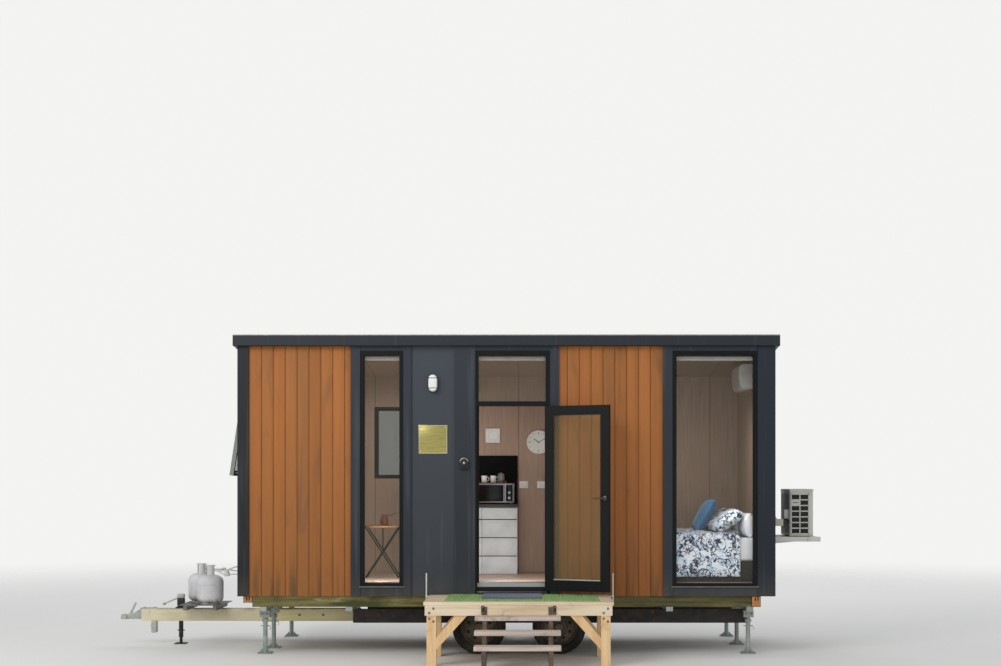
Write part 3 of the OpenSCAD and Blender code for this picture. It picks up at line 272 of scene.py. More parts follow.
def oiled_boards(name, joint, pitch, fade, weathered):
    """Upright oiled boards, each of its own tone; fade is the tone near the ground and weathered
    is how much grey has come into the wood."""
    wood = Finish(name, 0.6, 0.0, 0.3)
    number = wood.maths("FLOOR", wood.maths("DIVIDE",
                                            wood.maths("SUBTRACT", wood.along("X"), joint), pitch))
    toss = wood.add("ShaderNodeTexWhiteNoise", noise_dimensions="1D")
    wood.join(number, toss.inputs["W"])
    shift = wood.add("ShaderNodeCombineXYZ")
    wood.join(wood.times(toss.outputs["Value"], 9.0), shift.inputs["Z"])
    moved = wood.add("ShaderNodeVectorMath", operation="ADD")
    wood.join(wood.source.outputs["Object"],
              moved.inputs[0]).join(shift.outputs[0], moved.inputs[1])

    def grain(scale, stretch, detail, warp=0.0):
        mapping = wood.add("ShaderNodeMapping")
        mapping.inputs["Scale"].default_value = stretch
        wood.join(moved.outputs[0], mapping.inputs["Vector"])
        texture = wood.add("ShaderNodeTexNoise")
        texture.inputs["Scale"].default_value = scale
        texture.inputs["Detail"].default_value = detail
        texture.inputs["Distortion"].default_value = warp
        wood.join(mapping.outputs[0], texture.inputs["Vector"])
        return texture.outputs["Fac"]

    figure = grain(26, (1, 1, 0.035), 5, 0.3)
    pores = grain(160, (1, 1, 0.03), 3)
    patches = grain(4.5, (1, 1, 0.32), 3, 0.6)
    tone = wood.tones(figure, (0.28, rgb(146, 88, 40)), (0.5, rgb(170, 104, 50)),
                      (0.72, rgb(182, 116, 58)))
    board = wood.tones(toss.outputs["Value"], (0.0, rgb(146, 92, 46)), (0.3, rgb(178, 108, 52)),
                       (0.55, rgb(160, 102, 52)), (0.8, rgb(138, 94, 54)), (1.0, rgb(184, 114, 56)))
    tone = wood.mixed(0.62, tone, board)
    low = wood.between(wood.along("Z"), 2.7, 0.75, smooth=False)
    tone = wood.mixed(wood.times(low, 0.8), tone, wood.mixed(0.35, rgb(*fade), tone))
    grey = wood.times(wood.between(patches, 0.56, 0.78), weathered)
    tone = wood.mixed(grey, tone, rgb(120, 84, 58))
    splash = wood.times(wood.between(wood.along("Z"), 1.3, 0.66),
                        wood.between(grain(12, (1, 1, 0.06), 3), 0.5, 0.68))
    tone = wood.mixed(wood.times(splash, 0.7), tone, rgb(84, 70, 44))
    tone = wood.mixed(wood.times(wood.between(pores, 0.62, 0.8), 0.35), tone, rgb(110, 64, 38))
    wood.colour(tone)
    wood.rough(figure, 0.52, 0.7)
    wood.relief(wood.maths("ADD", figure, wood.times(pores, 0.6)), 0.35, 0.0012)
    return wood.material


def sawn_timber(name, tones, run, stain=None, stained=0.0, knots=0.35, roughness=0.72):
    """Sawn timber with its grain along one axis, growth bands, small knots and stains."""
    wood = Finish(name, roughness)
    squeeze = {"X": (0.06, 1, 1), "Y": (1, 0.06, 1), "Z": (1, 1, 0.06)}[run]
    figure = wood.cloud(18, squeeze, 5, 0.6, 0.5)
    fibres = wood.cloud(140, squeeze, 3, 0.6)
    dark, mid, light = (rgb(*tone) for tone in tones)
    tone = wood.tones(figure, (0.28, dark), (0.5, mid), (0.74, light))
    knot = wood.cells(3.2, {"X": (0.35, 1, 1), "Y": (1, 0.35, 1), "Z": (1, 1, 0.35)}[run])
    tone = wood.mixed(wood.times(wood.between(knot, 0.085, 0.03), knots * 2), tone,
                      rgb(122, 74, 42))
    if stain:
        blot = wood.between(wood.cloud(3.4, (1, 1, 1), 5, 0.62), 0.62 - stained * 0.3, 0.72)
        tone = wood.mixed(wood.times(blot, 0.85), tone, rgb(*stain))
    tone = wood.mixed(wood.times(wood.between(fibres, 0.58, 0.78), 0.3), tone, dark)
    wood.colour(tone)
    wood.relief(wood.maths("ADD", figure, wood.times(fibres, 0.7)), 0.4, 0.0015)
    return wood.material


def mossy_timber():
    """Treated floor timbers gone green, with brown patches and dark checks along the grain."""
    wood = Finish("mossy_timber", 0.85)
    figure = wood.cloud(16, (0.05, 1, 1), 5, 0.6, 0.6)
    tone = wood.tones(figure, (0.28, rgb(54, 50, 28)), (0.5, rgb(98, 93, 52)),
                      (0.75, rgb(142, 134, 86)))
    tone = wood.mixed(wood.between(wood.cloud(3.2, (0.5, 1, 1.4), 5), 0.48, 0.64), tone,
                      rgb(62, 66, 30))
    tone = wood.mixed(wood.times(wood.between(wood.cloud(2.1, (0.6, 1, 1), 4, 0.6), 0.55, 0.68),
                                 0.8), tone, rgb(84, 62, 40))
    chalk = wood.between(wood.cloud(5.5, (0.35, 1, 2.2), 5, 0.65), 0.58, 0.68)
    tone = wood.mixed(wood.times(chalk, 0.6), tone, rgb(176, 168, 122))
    # Painted shade: the timbers darken towards the right, from CABIN.x + 0.6 to CABIN.x + 1.6.
    tone = wood.mixed(wood.times(wood.between(wood.along("X"), CABIN.x + 0.6, CABIN.x + 1.6), 0.45),
                      tone, rgb(48, 44, 26))
    checks = wood.between(wood.cloud(40, (0.02, 1, 1), 3, 0.6, 0.3), 0.63, 0.7)
    tone = wood.mixed(wood.times(checks, 0.75), tone, rgb(40, 38, 26))
    wood.colour(tone)
    wood.relief(figure, 0.6, 0.003)
    return wood.material


def zinc_coated(name, base=(148, 156, 152), grime=0.4, roughness=0.5):
    """Dull zinc with a faint spangle, chalky bloom and brown water stains."""
    zinc = Finish(name, roughness, 0.35)
    spangle = zinc.cells(70, (1, 1, 1), "F1", "Color")
    bloom = zinc.cloud(7, (1, 1, 1), 5)
    tone = zinc.mixed(0.16, rgb(*base), spangle, "OVERLAY")
    tone = zinc.mixed(zinc.between(bloom, 0.45, 0.75), tone,
                      rgb(min(base[0] + 26, 255), min(base[1] + 24, 255), base[2] + 18))
    stain = zinc.times(zinc.between(zinc.cloud(5, (1, 1, 0.25), 5, 0.65), 0.55, 0.72), grime)
    tone = zinc.mixed(stain, tone, rgb(104, 84, 58))
    zinc.colour(tone)
    zinc.rough(bloom, roughness - 0.1, roughness + 0.15)
    zinc.relief(bloom, 0.15, 0.001)
    return zinc.material


def drawbar_steel():
    """Chalky beige drawbar, green with algae where it runs under the cabin; there its tone is also
    painted much paler, painted light that makes up for the shade of the floor above.
    """
    bar = Finish("drawbar_steel", 0.62)
    cloud = bar.cloud(6, (0.3, 1, 1), 5)
    beige = bar.tones(cloud, (0.3, rgb(196, 186, 154)), (0.5, rgb(212, 202, 170)),
                      (0.72, rgb(222, 214, 186)))
    # Algae green, painted far paler than real as painted light, for the part under the cabin's
    # floor.
    green = bar.tones(bar.cloud(14, (0.08, 1, 1), 4), (0.3, rgb(222, 211, 148)),
                      (0.7, rgb(243, 233, 188)))
    under = bar.between(bar.maths("ADD", bar.along("X"), bar.times(bar.cloud(6), 0.3)), -2.42,
                        -2.22)
    tone = bar.mixed(under, beige, green)
    # Painted shade: patches along the top strip of the bar, just under the tray and floor, are
    # darkened.
    top = bar.times(bar.between(bar.along("Z"), 0.40, 0.43),
                    bar.between(bar.cloud(11, (0.6, 1, 1), 5), 0.42, 0.6))
    tone = bar.mixed(bar.times(top, 0.6), tone, rgb(120, 116, 98))
    rust = bar.between(bar.cloud(8, (1, 1, 0.5), 6, 0.65), 0.62, 0.7)
    tone = bar.mixed(bar.times(rust, 0.6), tone, rgb(122, 86, 56))
    bar.colour(tone)
    bar.relief(cloud, 0.25, 0.0015)
    return bar.material


def dark_iron(name, base, rust=0.4):
    """Dark paint that has dulled and rusts in places."""
    iron = Finish(name, 0.6, 0.1)
    cloud = iron.cloud(11, (1, 1, 1), 5)
    tone = iron.mixed(iron.between(cloud, 0.4, 0.7), rgb(*base), dimmed(base, 0.7))
    highlight_and_wear = iron.times(iron.between(iron.cloud(17, (1, 1, 1), 6, 0.65), 0.57, 0.68), rust)
    tone = iron.mixed(highlight_and_wear, tone, rgb(112, 68, 42))
    iron.colour(tone)
    iron.relief(cloud, 0.3, 0.001)
    return iron.material


def satin_black(name="satin_black", base=(11, 13, 14), roughness=0.46, highlight_and_wear=None):
    """Powder-coated aluminium: near black with a fine tooth. On the side nearer than a given place
    along Y, the coat is painted pale, a painted highlight on the front edge."""
    coat = Finish(name, roughness, 0.0, 0.22)
    cloud = coat.cloud(3, (1, 1, 0.4), 3)
    tone = coat.mixed(coat.between(cloud, 0.35, 0.75), rgb(*base), rgb(*(c + 6 for c in base)))
    # Painted highlight: a pale tone on the front edge, nearer than the given place along Y.
    if highlight_and_wear:
        tone = coat.mixed(coat.between(coat.along("Y"), highlight_and_wear + 0.002, highlight_and_wear), tone,
                          rgb(150, 156, 144))
    coat.colour(tone)
    coat.rough(cloud, roughness - 0.06, roughness + 0.1)
    coat.relief(coat.cloud(420, (1, 1, 1), 2), 0.1, 0.0004)
    return coat.material


def sealed_glass(name, tint, cover, painted_dark_from=None):
    """A clear sealed unit that keeps a little of its tint and shows more gloss at a low angle.
    Behind a given place along Y, the panes are painted dark and more veiled, painted shade that
    dims the view through them."""
    pane = Finish(name, 0.03, 0.0, 0.9)
    cloud = pane.cloud(2.2, (1, 1, 0.5), 3, 0.5, 0.6)
    tone = pane.mixed(pane.between(cloud, 0.35, 0.7), rgb(*tint), dimmed(tint, 0.86))
    low_angle = pane.maths("POWER", pane.add("ShaderNodeLayerWeight").outputs["Facing"], 5)
    veil = pane.maths("ADD", pane.times(low_angle, 0.77), cover + 0.032)
    # Painted shade: panes behind the given place along Y are darkened and veiled.
    if painted_dark_from:
        beyond = pane.between(pane.along("Y"), painted_dark_from, painted_dark_from + 0.01)
        tone = pane.mixed(beyond, tone, rgb(58, 64, 54))
        veil = pane.maths("ADD", veil, pane.times(beyond, 0.44))
    pane.colour(tone)
    pane.join(veil, pane.shader.inputs["Alpha"])
    return pane.material


def brushed_metal(name, base, roughness=0.32, stretch=(1, 1, 0.03), metallic=0.9):
    metal = Finish(name, roughness, metallic)
    lines = metal.cloud(180, stretch, 3)
    metal.colour(metal.mixed(metal.between(lines, 0.3, 0.7), rgb(*base), dimmed(base, 0.86)))
    metal.rough(lines, roughness - 0.08, roughness + 0.12)
    metal.relief(lines, 0.12, 0.0004)
    return metal.material


def enamel(name, base, roughness=0.38, grime=0.2, low=None):
    """Pale stoved enamel with a little grime that gathers low down."""
    coat = Finish(name, roughness)
    cloud = coat.cloud(4.5, (1, 1, 0.6), 4)
    tone = coat.mixed(coat.between(cloud, 0.35, 0.75), rgb(*base), dimmed(base, 0.94))
    dirt = coat.between(coat.cloud(9, (1, 1, 0.35), 6, 0.65), 0.5, 0.72)
    tone = coat.mixed(coat.times(dirt, grime), tone, rgb(122, 114, 96))
    if low:
        foot = coat.times(coat.between(coat.along("Z"), low + 0.1, low),
                          coat.between(coat.cloud(14), 0.35, 0.6))
        tone = coat.mixed(coat.times(foot, 0.75), tone, rgb(96, 76, 56))
    coat.colour(tone)
    coat.rough(dirt, roughness, roughness + 0.2)
    coat.relief(coat.cloud(300, (1, 1, 1), 2), 0.06, 0.0004)
    return coat.material


def plastic(name, base, roughness=0.4):
    moulded = Finish(name, roughness)
    cloud = moulded.cloud(6, (1, 1, 1), 3)
    moulded.colour(moulded.mixed(moulded.between(cloud, 0.35, 0.75), rgb(*base),
                                 dimmed(base, 0.93)))
    moulded.rough(cloud, roughness - 0.05, roughness + 0.1)
    moulded.relief(moulded.cloud(500, (1, 1, 1), 2), 0.08, 0.0003)
    return moulded.material


def woven(name, first, second, scale=900.0, blot=None):
    """A plain weave of two threads; blot lays a generic blotted print over it."""
    cloth = Finish(name, 0.85)
    cloth.shader.inputs["Sheen Weight"].default_value = 0.25
    cloth.shader.inputs["Sheen Roughness"].default_value = 0.5
    across = cloth.maths("SINE", cloth.times(cloth.along("X"), scale))
    down = cloth.maths("SINE", cloth.times(cloth.maths("ADD", cloth.along("Y"), cloth.along("Z")),
                                           scale))
    weave = cloth.times(across, down)
    tone = cloth.mixed(cloth.between(weave, -0.6, 0.6), rgb(*first), rgb(*second))
    tone = cloth.mixed(cloth.between(cloth.cloud(5, (1, 1, 1), 3), 0.35, 0.75), tone,
                       cloth.mixed(0.5, tone, rgb(*second)))
    if blot:
        wash = cloth.between(cloth.cloud(11, (1, 1, 1), 2), 0.54, 0.62)
        tone = cloth.mixed(cloth.times(wash, 0.75), tone, rgb(150, 176, 204))
        for scale, warp, gap in ((13, 1.1, 7), (19, 0.7, 9)):
            swirl = cloth.cloud(scale, (1, 1, 1), 1, 0.5, warp)
            stroke = cloth.maths("ABSOLUTE", cloth.maths("SUBTRACT", swirl, 0.5))
            strokes = cloth.between(stroke, 0.050, 0.034)
            whole = cloth.between(cloth.cloud(gap, (1, 1, 1), 1, 0.5, 0.4), 0.43, 0.47)
            tone = cloth.mixed(cloth.times(strokes, whole), tone, rgb(*blot))
    cloth.colour(tone)
    cloth.relief(weave, 0.35, 0.0006)
    return cloth.material


# ---------------------------------------------------------------- making pieces


def start():
    """Nothing is selected and no piece is in edit mode when a new one begins."""
    if bpy.context.object and bpy.context.object.mode != "OBJECT":
        bpy.ops.object.mode_set(mode="OBJECT")
    bpy.ops.object.select_all(action="DESELECT")


def take(piece):
    start()
    piece.select_set(True)
    bpy.context.view_layer.objects.active = piece
    return piece


def held(name, data):
    """A new piece that holds some data."""
    piece = bpy.data.objects.new(name, data)
    bpy.context.collection.objects.link(piece)
    return take(piece)


def open_mesh():
    """The active piece goes into edit mode with all of it selected."""
    bpy.ops.object.mode_set(mode="EDIT")
    bpy.ops.mesh.select_all(action="SELECT")


def close_mesh():
    """All faces are turned outwards and edit mode ends."""
    bpy.ops.mesh.select_all(action="SELECT")
    bpy.ops.mesh.normals_make_consistent(inside=False)
    bpy.ops.object.mode_set(mode="OBJECT")


def applied(piece, kind, **settings):
    """Gives a piece a modifier with these settings and applies it."""
    take(piece)
    modifier = piece.modifiers.new(kind.lower(), kind)
    for key, value in settings.items():
        setattr(modifier, key, value)
    bpy.ops.object.modifier_apply(modifier=modifier.name)
    return piece


def settle():
    """The active piece's place goes into its mesh."""
    bpy.ops.object.transform_apply(location=True, rotation=True, scale=True)
    return bpy.context.object


def stood(piece, centre, axis):
    """Turns a piece drawn along Z to its axis and moves it to its centre."""
    turns = {"Z": (0, 0, 0), "X": (0, QUARTER_TURN, 0), "Y": (-QUARTER_TURN, 0, 0)}
    piece.rotation_euler = turns[axis]
    piece.location = centre
    return settle()


def ease(piece, width, segments=2):
    """Rounds the edges of a piece."""
    return applied(piece, "BEVEL", width=width, segments=segments, limit_method="ANGLE",
                   angle_limit=math.radians(30))


def block(low, high, edge=0.002, segments=2):
    """A block between two corners, with its edges eased."""
    start()
    low, high = Vector(low), Vector(high)
    bpy.ops.mesh.primitive_cube_add(size=1, location=(low + high) / 2)
    piece = bpy.context.object
    piece.scale = high - low
    settle()
    return ease(piece, edge, segments) if edge else piece


def turned(rings, sides=48, centre=(0, 0, 0), axis="Z"):
    """A round piece drawn up from a disc, ring by ring; each ring is (radius, height)."""
    start()
    radius, height = rings[0]
    bpy.ops.mesh.primitive_circle_add(vertices=sides, radius=radius, fill_type="NGON",
                                      location=(0, 0, height))
    piece = bpy.context.object
    bpy.ops.object.transform_apply(location=True, rotation=True, scale=True)
    open_mesh()
    for (before, low), (after, high) in zip(rings, rings[1:]):
        bpy.ops.mesh.extrude_region_move(TRANSFORM_OT_translate={"value": (0, 0, high - low)})
        if after != before:
            bpy.ops.transform.resize(value=(after / before, after / before, 1),
                                     center_override=(0, 0, high))
    bpy.ops.mesh.select_all(action="SELECT")
    bpy.ops.mesh.fill_holes(sides=0)
    close_mesh()
    return stood(piece, centre, axis)


def spun(profile, sides=64, centre=(0, 0, 0), axis="Z"):
    """A closed profile of (radius, height) points, spun about an axis into a ring."""
    start()
    mesh = bpy.data.meshes.new("profile")
    points = [(radius, 0, height) for radius, height in profile]
    edges = [(i, (i + 1) % len(points)) for i in range(len(points))]
    mesh.from_pydata(points, edges, [])
    piece = held("profile", mesh)
    open_mesh()
    bpy.ops.mesh.spin(steps=sides, angle=2 * math.pi, center=(0, 0, 0), axis=(0, 0, 1))
    bpy.ops.mesh.select_all(action="SELECT")
    bpy.ops.mesh.remove_doubles(threshold=0.00002)
    close_mesh()
    return stood(piece, centre, axis)


def cut_out(outline, depth, edge=0.0, axis="Y", place=0.0):
    """A flat outline given thickness along an axis; the outline's points are the other two
    coordinates, and the piece starts at place."""
    start()
    index = "XYZ".index(axis)
    points = [list(point) for point in outline]
    for point in points:
        point.insert(index, place)
    mesh = bpy.data.meshes.new("outline")
    mesh.from_pydata(points, [], [list(range(len(points)))])
    piece = held("outline", mesh)
    open_mesh()
    move = [0, 0, 0]
    move[index] = depth
    bpy.ops.mesh.extrude_region_move(TRANSFORM_OT_translate={"value": move})
    close_mesh()
    return ease(piece, edge) if edge else piece


def tube(points, radius, sides=10, smooth=False):
    """A round rod through points, with closed ends."""
    start()
    line = bpy.data.curves.new("line", "CURVE")
    line.dimensions = "3D"
    line.bevel_depth = radius
    line.bevel_resolution = max(1, sides // 4)
    line.use_fill_caps = True
    if smooth:
        spline = line.splines.new("BEZIER")
        spline.bezier_points.add(len(points) - 1)
        for knot, point in zip(spline.bezier_points, points):
            knot.co = point
            knot.handle_left_type = knot.handle_right_type = "AUTO"
    else:
        spline = line.splines.new("POLY")
        spline.points.add(len(points) - 1)
        for knot, point in zip(spline.points, points):
            knot.co = (*point, 1)
    piece = held("rod", line)
    bpy.ops.object.convert(target="MESH")
    return bpy.context.object


def twin_of(piece):
    """A copy of a piece with a mesh of its own."""
    twin = piece.copy()
    twin.data = piece.data.copy()
    bpy.context.collection.objects.link(twin)
    return twin


def copies(piece, moves):
    """The piece and a copy of it at each move, as one piece."""
    made = [piece]
    for move in moves:
        twin = twin_of(piece)
        twin.data.transform(Matrix.Translation(move))
        made.append(twin)
    return gathered(made)


def at_corners(piece, wide, deep):
    """The piece and three copies of it, at the corners of a rectangle in plan."""
    return copies(piece, [(wide, 0, 0), (0, deep, 0), (wide, deep, 0)])


def gathered(parts):
    """Several parts made into one piece."""
    start()
    for part in parts:
        part.select_set(True)
    bpy.context.view_layer.objects.active = parts[0]
    if len(parts) > 1:
        bpy.ops.object.join()
    return bpy.context.object


def set_in(piece, place, angle=QUARTER_TURN, axis="X"):
    """Turns a piece made about the origin and moves it into its place; unless told otherwise,
    what was drawn upwards then looks along -Y."""
    piece.data.transform(Matrix.Translation(place) @ Matrix.Rotation(angle, 4, axis))
    return piece


def ringed(piece, angle, reach):
    """Sets a piece made about the origin on a ring round the Z axis."""
    piece.data.transform(Matrix.Rotation(angle, 4, "Z") @ Matrix.Translation((reach, 0, 0)))
    return piece


def turned_about(piece, angle, axis, centre):
    """Turns a piece's mesh about a line through centre."""
    centre = Vector(centre)
    piece.data.transform(Matrix.Translation(centre) @ Matrix.Rotation(angle, 4, axis)
                         @ Matrix.Translation(-centre))
    return piece


def done(piece, name, finish, body="root", stands_for=(), smooth=35):
    """Names a piece, gives it its finish and sets it on its body. A list of parts is first made
    into one piece."""
    piece = gathered(piece) if isinstance(piece, list) else piece
    piece.name = name
    piece.data.name = name
    piece.data.materials.clear()
    piece.data.materials.append(finish)
    if smooth:
        take(piece)
        bpy.ops.object.shade_smooth_by_angle(angle=math.radians(smooth))
    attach(piece, body)
    if stands_for:
        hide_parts(*([stands_for] if isinstance(stands_for, str) else stands_for))
    return piece


def dress(finish, *names):
    """Gives CAD nodes their finish."""
    for name in names:
        materials = nodes[name].data.materials
        for index in range(max(1, len(materials))):
            if index < len(materials):
                materials[index] = finish
            else:
                materials.append(finish)


def take_away(piece):
    bpy.data.objects.remove(piece)


# ---------------------------------------------------------------- camera, light and floor

start()
view = bpy.data.cameras.new("view")
view.sensor_width = 36
view.sensor_fit = "HORIZONTAL"
view.lens = 58.07
view.shift_x = -0.0295
view.shift_y = 0.147
view.clip_end = 200
viewer = bpy.data.objects.new("view", view)
viewer.location = at(0.263, -19.2, 1.951)
viewer.rotation_euler = (QUARTER_TURN, 0, 0)
bpy.context.collection.objects.link(viewer)
bpy.context.scene.camera = viewer
bpy.context.scene.view_settings.view_transform = "Standard"


def lamp(name, place, towards, power, size, shade=(1, 1, 1)):
    light = bpy.data.lights.new(name, "AREA")
    light.energy = power
    light.shape = "RECTANGLE"
    light.size, light.size_y = size
    light.color = shade
    holder = bpy.data.objects.new(name, light)
    holder.location = place
    holder.rotation_euler = (Vector(towards) - Vector(place)).to_track_quat("-Z", "Y").to_euler()
    bpy.context.collection.objects.link(holder)
    return holder


lamp("key_softbox", at(-6.5, -10.5, 8.5), at(0, -1, 1.4), 520, (6, 5), (1.0, 0.97, 0.93))
lamp("back_softbox", at(1, 9.5, 8), at(0, 1, 1.6), 260, (8, 4))
low_fill = lamp("low_softbox", at(3.5, -21.5, 2.4), at(0.4, 0, 0.9), 640, (12, 3.4),
                (1.0, 0.99, 0.97))
low_fill.visible_glossy = False
for name, place, towards, power, size in (
    ("room_light", (-1.2, 0.0, 3.1), (-1.2, 0.1, 0), 12, (2.0, 1.0)),
    ("corner_light", (-1.39, -1.00, 1.25), (-1.5, 0.9, 1.2), 15, (0.36, 0.8)),
    ("doorway_light", (0.07, -0.95, 1.15), (0.0, 1.0, 1.3), 9, (0.6, 0.7)),
    ("bedside_light", (2.15, -0.70, 2.6), (2.15, 0.1, 1.2), 9, (1.0, 0.5)),
    ("bed_front_light", (2.32, -1.10, 1.20), (2.32, 0.0, 1.20), 1.3, (0.86, 0.66)),
    ("pillow_light", (2.55, -0.95, 1.66), (2.80, -0.6, 1.10), 0.8, (0.24, 0.24)),
):
    indoors = lamp(name, at(*place), at(*towards), power, size, (1.0, 0.97, 0.94))
    indoors.visible_camera = False
    indoors.visible_glossy = False
    indoors.visible_transmission = False

world = bpy.data.worlds.new("studio")
bpy.context.scene.world = world
world.use_nodes = True
sky = world.node_tree
plain = sky.nodes["Background"]
plain.inputs["Color"].default_value = (0.93, 0.95, 0.98, 1)
plain.inputs["Strength"].default_value = 0.62
seen = sky.nodes.new("ShaderNodeBackground")
seen.inputs["Color"].default_value = (0.9, 0.9, 0.89, 1)
seen.inputs["Strength"].default_value = 1.0
ray = sky.nodes.new("ShaderNodeLightPath")
either = sky.nodes.new("ShaderNodeMath")
either.operation = "MAXIMUM"
sky.links.new(ray.outputs["Is Camera Ray"], either.inputs[0])
sky.links.new(ray.outputs["Is Transmission Ray"], either.inputs[1])
choice = sky.nodes.new("ShaderNodeMixShader")
sky.links.new(either.outputs[0], choice.inputs["Fac"])
sky.links.new(plain.outputs[0], choice.inputs[1])
sky.links.new(seen.outputs[0], choice.inputs[2])
sky.links.new(choice.outputs[0], sky.nodes["World Output"].inputs["Surface"])

start()
bpy.ops.mesh.primitive_circle_add(vertices=128, radius=24, fill_type="NGON",
                                  location=(0, 0, -0.001))
ground = bpy.context.object
ground.name = "studio_floor"
paper = Finish("studio_paper", 0.9)
paper.colour(paper.mixed(paper.cloud(0.8), rgb(238, 237, 234), rgb(241, 240, 237)))
reach = paper.add("ShaderNodeVectorMath", operation="LENGTH")
paper.join(paper.source.outputs["Object"], reach.inputs[0])
paper.join(paper.between(reach.outputs["Value"], 23.5, 6.0), paper.shader.inputs["Alpha"])
ground.data.materials.append(paper.material)

# ---------------------------------------------------------------- finishes of this cabin

DARK_STEEL = coated_steel("dark_steel", (46, 52, 60), (34, 39, 47))
FASCIA_STEEL = coated_steel("fascia_steel", (38, 43, 49), (34, 39, 46))
# Painted shade on the front: the bands darken the left corner trim and the right end; the band over
# the recessed panel between the narrow window and the door is lighter.
FRONT_STEEL = coated_steel("front_steel", (46, 52, 60), (34, 39, 47),
                           bands=((CABIN.x - 1.064, CABIN.x - 0.575, (62, 68, 76)),
                                  (CABIN.x - 3.0, CABIN.x - 2.874, (28, 31, 34)),
                                  (CABIN.x + 2.80, CABIN.x + 3.0, (34, 41, 52))))
LEFT_WALL_SKIN = coated_steel("left_wall_skin", (46, 52, 60), (34, 39, 47), ("X", 1))
RIGHT_WALL_SKIN = coated_steel("right_wall_skin", (46, 52, 60), (34, 39, 47), ("X", -1))
BACK_WALL_SKIN = coated_steel("back_wall_skin", (46, 52, 60), (34, 39, 47), ("Y", -1))
ROOF_SKIN = coated_steel("roof_sheet", (128, 133, 137), (112, 116, 120), ("Z", -1))
PLYWOOD = plywood("plywood_lining")
FLOOR_BOARDS = sawn_timber("floor_boards", [(150, 128, 112), (172, 150, 134), (188, 168, 152)], "X",
                           knots=0.0, roughness=0.4)
DULL_ZINC = zinc_coated("dull_zinc", (104, 107, 106), 0.3)
LEFT_JOINTS = [CABIN.x - 2.736 + 0.1329 * i for i in range(8)]
RIGHT_JOINTS = [CABIN.x + 0.680 + 0.1324 * i for i in range(8)]
LEFT_BOARDS = oiled_boards("left_boards", LEFT_JOINTS[0], 0.1329, (138, 90, 46), 0.7)
RIGHT_BOARDS = oiled_boards("right_boards", RIGHT_JOINTS[0], 0.1324, (112, 68, 36), 0.8)
MOSSY = mossy_timber()
ZINC = zinc_coated("galvanised_steel")
PALE_ZINC = zinc_coated("pale_zinc", (176, 178, 172), 0.2)
DRAWBAR = drawbar_steel()
CHASSIS_IRON = dark_iron("chassis_iron", (48, 44, 40), 0.55)
JOCKEY_IRON = dark_iron("jockey_iron", (44, 40, 40), 0.3)
AXLE_IRON = dark_iron("axle_iron", (40, 40, 40), 0.4)
RIM_IRON = dark_iron("rim_iron", (112, 104, 86), 0.3)
TYRE = simple("tyre_rubber", 0.82, lambda rubber: rubber.mixed(
    rubber.between(rubber.cloud(9, (1, 1, 1), 5), 0.42, 0.7), rgb(34, 33, 32), rgb(66, 60, 52)),
    height=lambda rubber: rubber.cloud(160), strength=0.2, distance=0.0008)
BLACK = satin_black()
GASKET = plastic("black_gasket", (16, 17, 18), 0.6)
# Painted shade: the back panes of this glass are darkened.
WINDOW_GLASS = sealed_glass("window_glass", (100, 100, 84), 0.10, painted_dark_from=CABIN.y + 1.0)
DOOR_GLASS = sealed_glass("door_glass", (150, 124, 78), 0.17)
MILL_ALUMINIUM = brushed_metal("mill_aluminium", (178, 182, 182), 0.35, (0.03, 1, 1))
SILL_METAL = simple("sill_metal", 0.4,
                    lambda sheet: sheet.mixed(sheet.between(sheet.along("Z"), 0.757, 0.760,
                                                            smooth=False), rgb(20, 22, 23),
                                              rgb(176, 178, 176)), metallic=0.2,
                    height=lambda sheet: sheet.cloud(180, (0.03, 1, 1), 3))
SATIN_STEEL = brushed_metal("satin_steel", (196, 198, 198), 0.3)
HANDLE_METAL = brushed_metal("handle_metal", (104, 96, 90), 0.36)
BRASS = brushed_metal("brass_plate", (190, 178, 108), 0.3, (0.04, 1, 1), 0.7)
BRASS_EDGE = brushed_metal("brass_edge", (214, 206, 150), 0.25, (1, 1, 1), 0.7)
OPAL = simple("opal_lens", 0.25, lambda lens: lens.mixed(
    lens.cloud(30), rgb(226, 228, 226), rgb(238, 239, 236)))
AMBER = simple("amber_lens", 0.18, lambda lens: lens.mixed(
    lens.cells(160), rgb(158, 100, 44), rgb(206, 148, 84)))
WHITE_ENAMEL = enamel("white_enamel", (206, 206, 197))
WHITE_SHELF = enamel("white_shelf", (214, 214, 206), 0.45, 0.35)
BEIGE_PLASTIC = plastic("beige_plastic", (196, 190, 168))
DARK_SLOT = plastic("dark_slots", (34, 36, 38), 0.7)
GREY_FIN = plastic("grey_fins", (146, 149, 148), 0.6)
BOTTLE_PAINT = enamel("bottle_paint", (218, 218, 220), 0.5, 0.3, 0.50)
WHITE_PLASTIC = plastic("white_plastic", (222, 222, 216))
CREAM_PLASTIC = plastic("cream_plastic", (206, 204, 194), 0.45)
PINE_X = sawn_timber("pine_boards", [(196, 172, 142), (222, 204, 174), (234, 220, 196)], "X",
                     (150, 128, 112), 0.12)
POST_PINE = sawn_timber("post_pine", [(202, 162, 112), (226, 190, 142), (238, 206, 160)], "Z",
                        (172, 138, 96), 0.1)
TREAD_PINE = sawn_timber("tread_pine", [(168, 150, 136), (200, 185, 174), (220, 208, 198)], "X",
                         (130, 116, 102), 0.25)
STRINGER_PINE = sawn_timber("stringer_pine", [(74, 60, 48), (98, 82, 66), (126, 108, 88)], "Y",
                            (70, 60, 48), 0.25)
BOLT = zinc_coated("bolt_zinc", (120, 122, 120), 0.3, 0.4)
DARK_STRAP = dark_iron("dark_strap", (44, 42, 42), 0.25)
TURF = simple("turf", 0.85, lambda grass: grass.tones(
    grass.cloud(220, (1, 1, 0.3), 3),
    (0.3, rgb(114, 144, 88)), (0.5, rgb(148, 178, 118)), (0.72, rgb(178, 204, 148))))
DOORMAT = woven("doormat_blue", (52, 66, 104), (74, 90, 128), 700)
DRAWER = plastic("drawer_laminate", (176, 179, 180), 0.35)
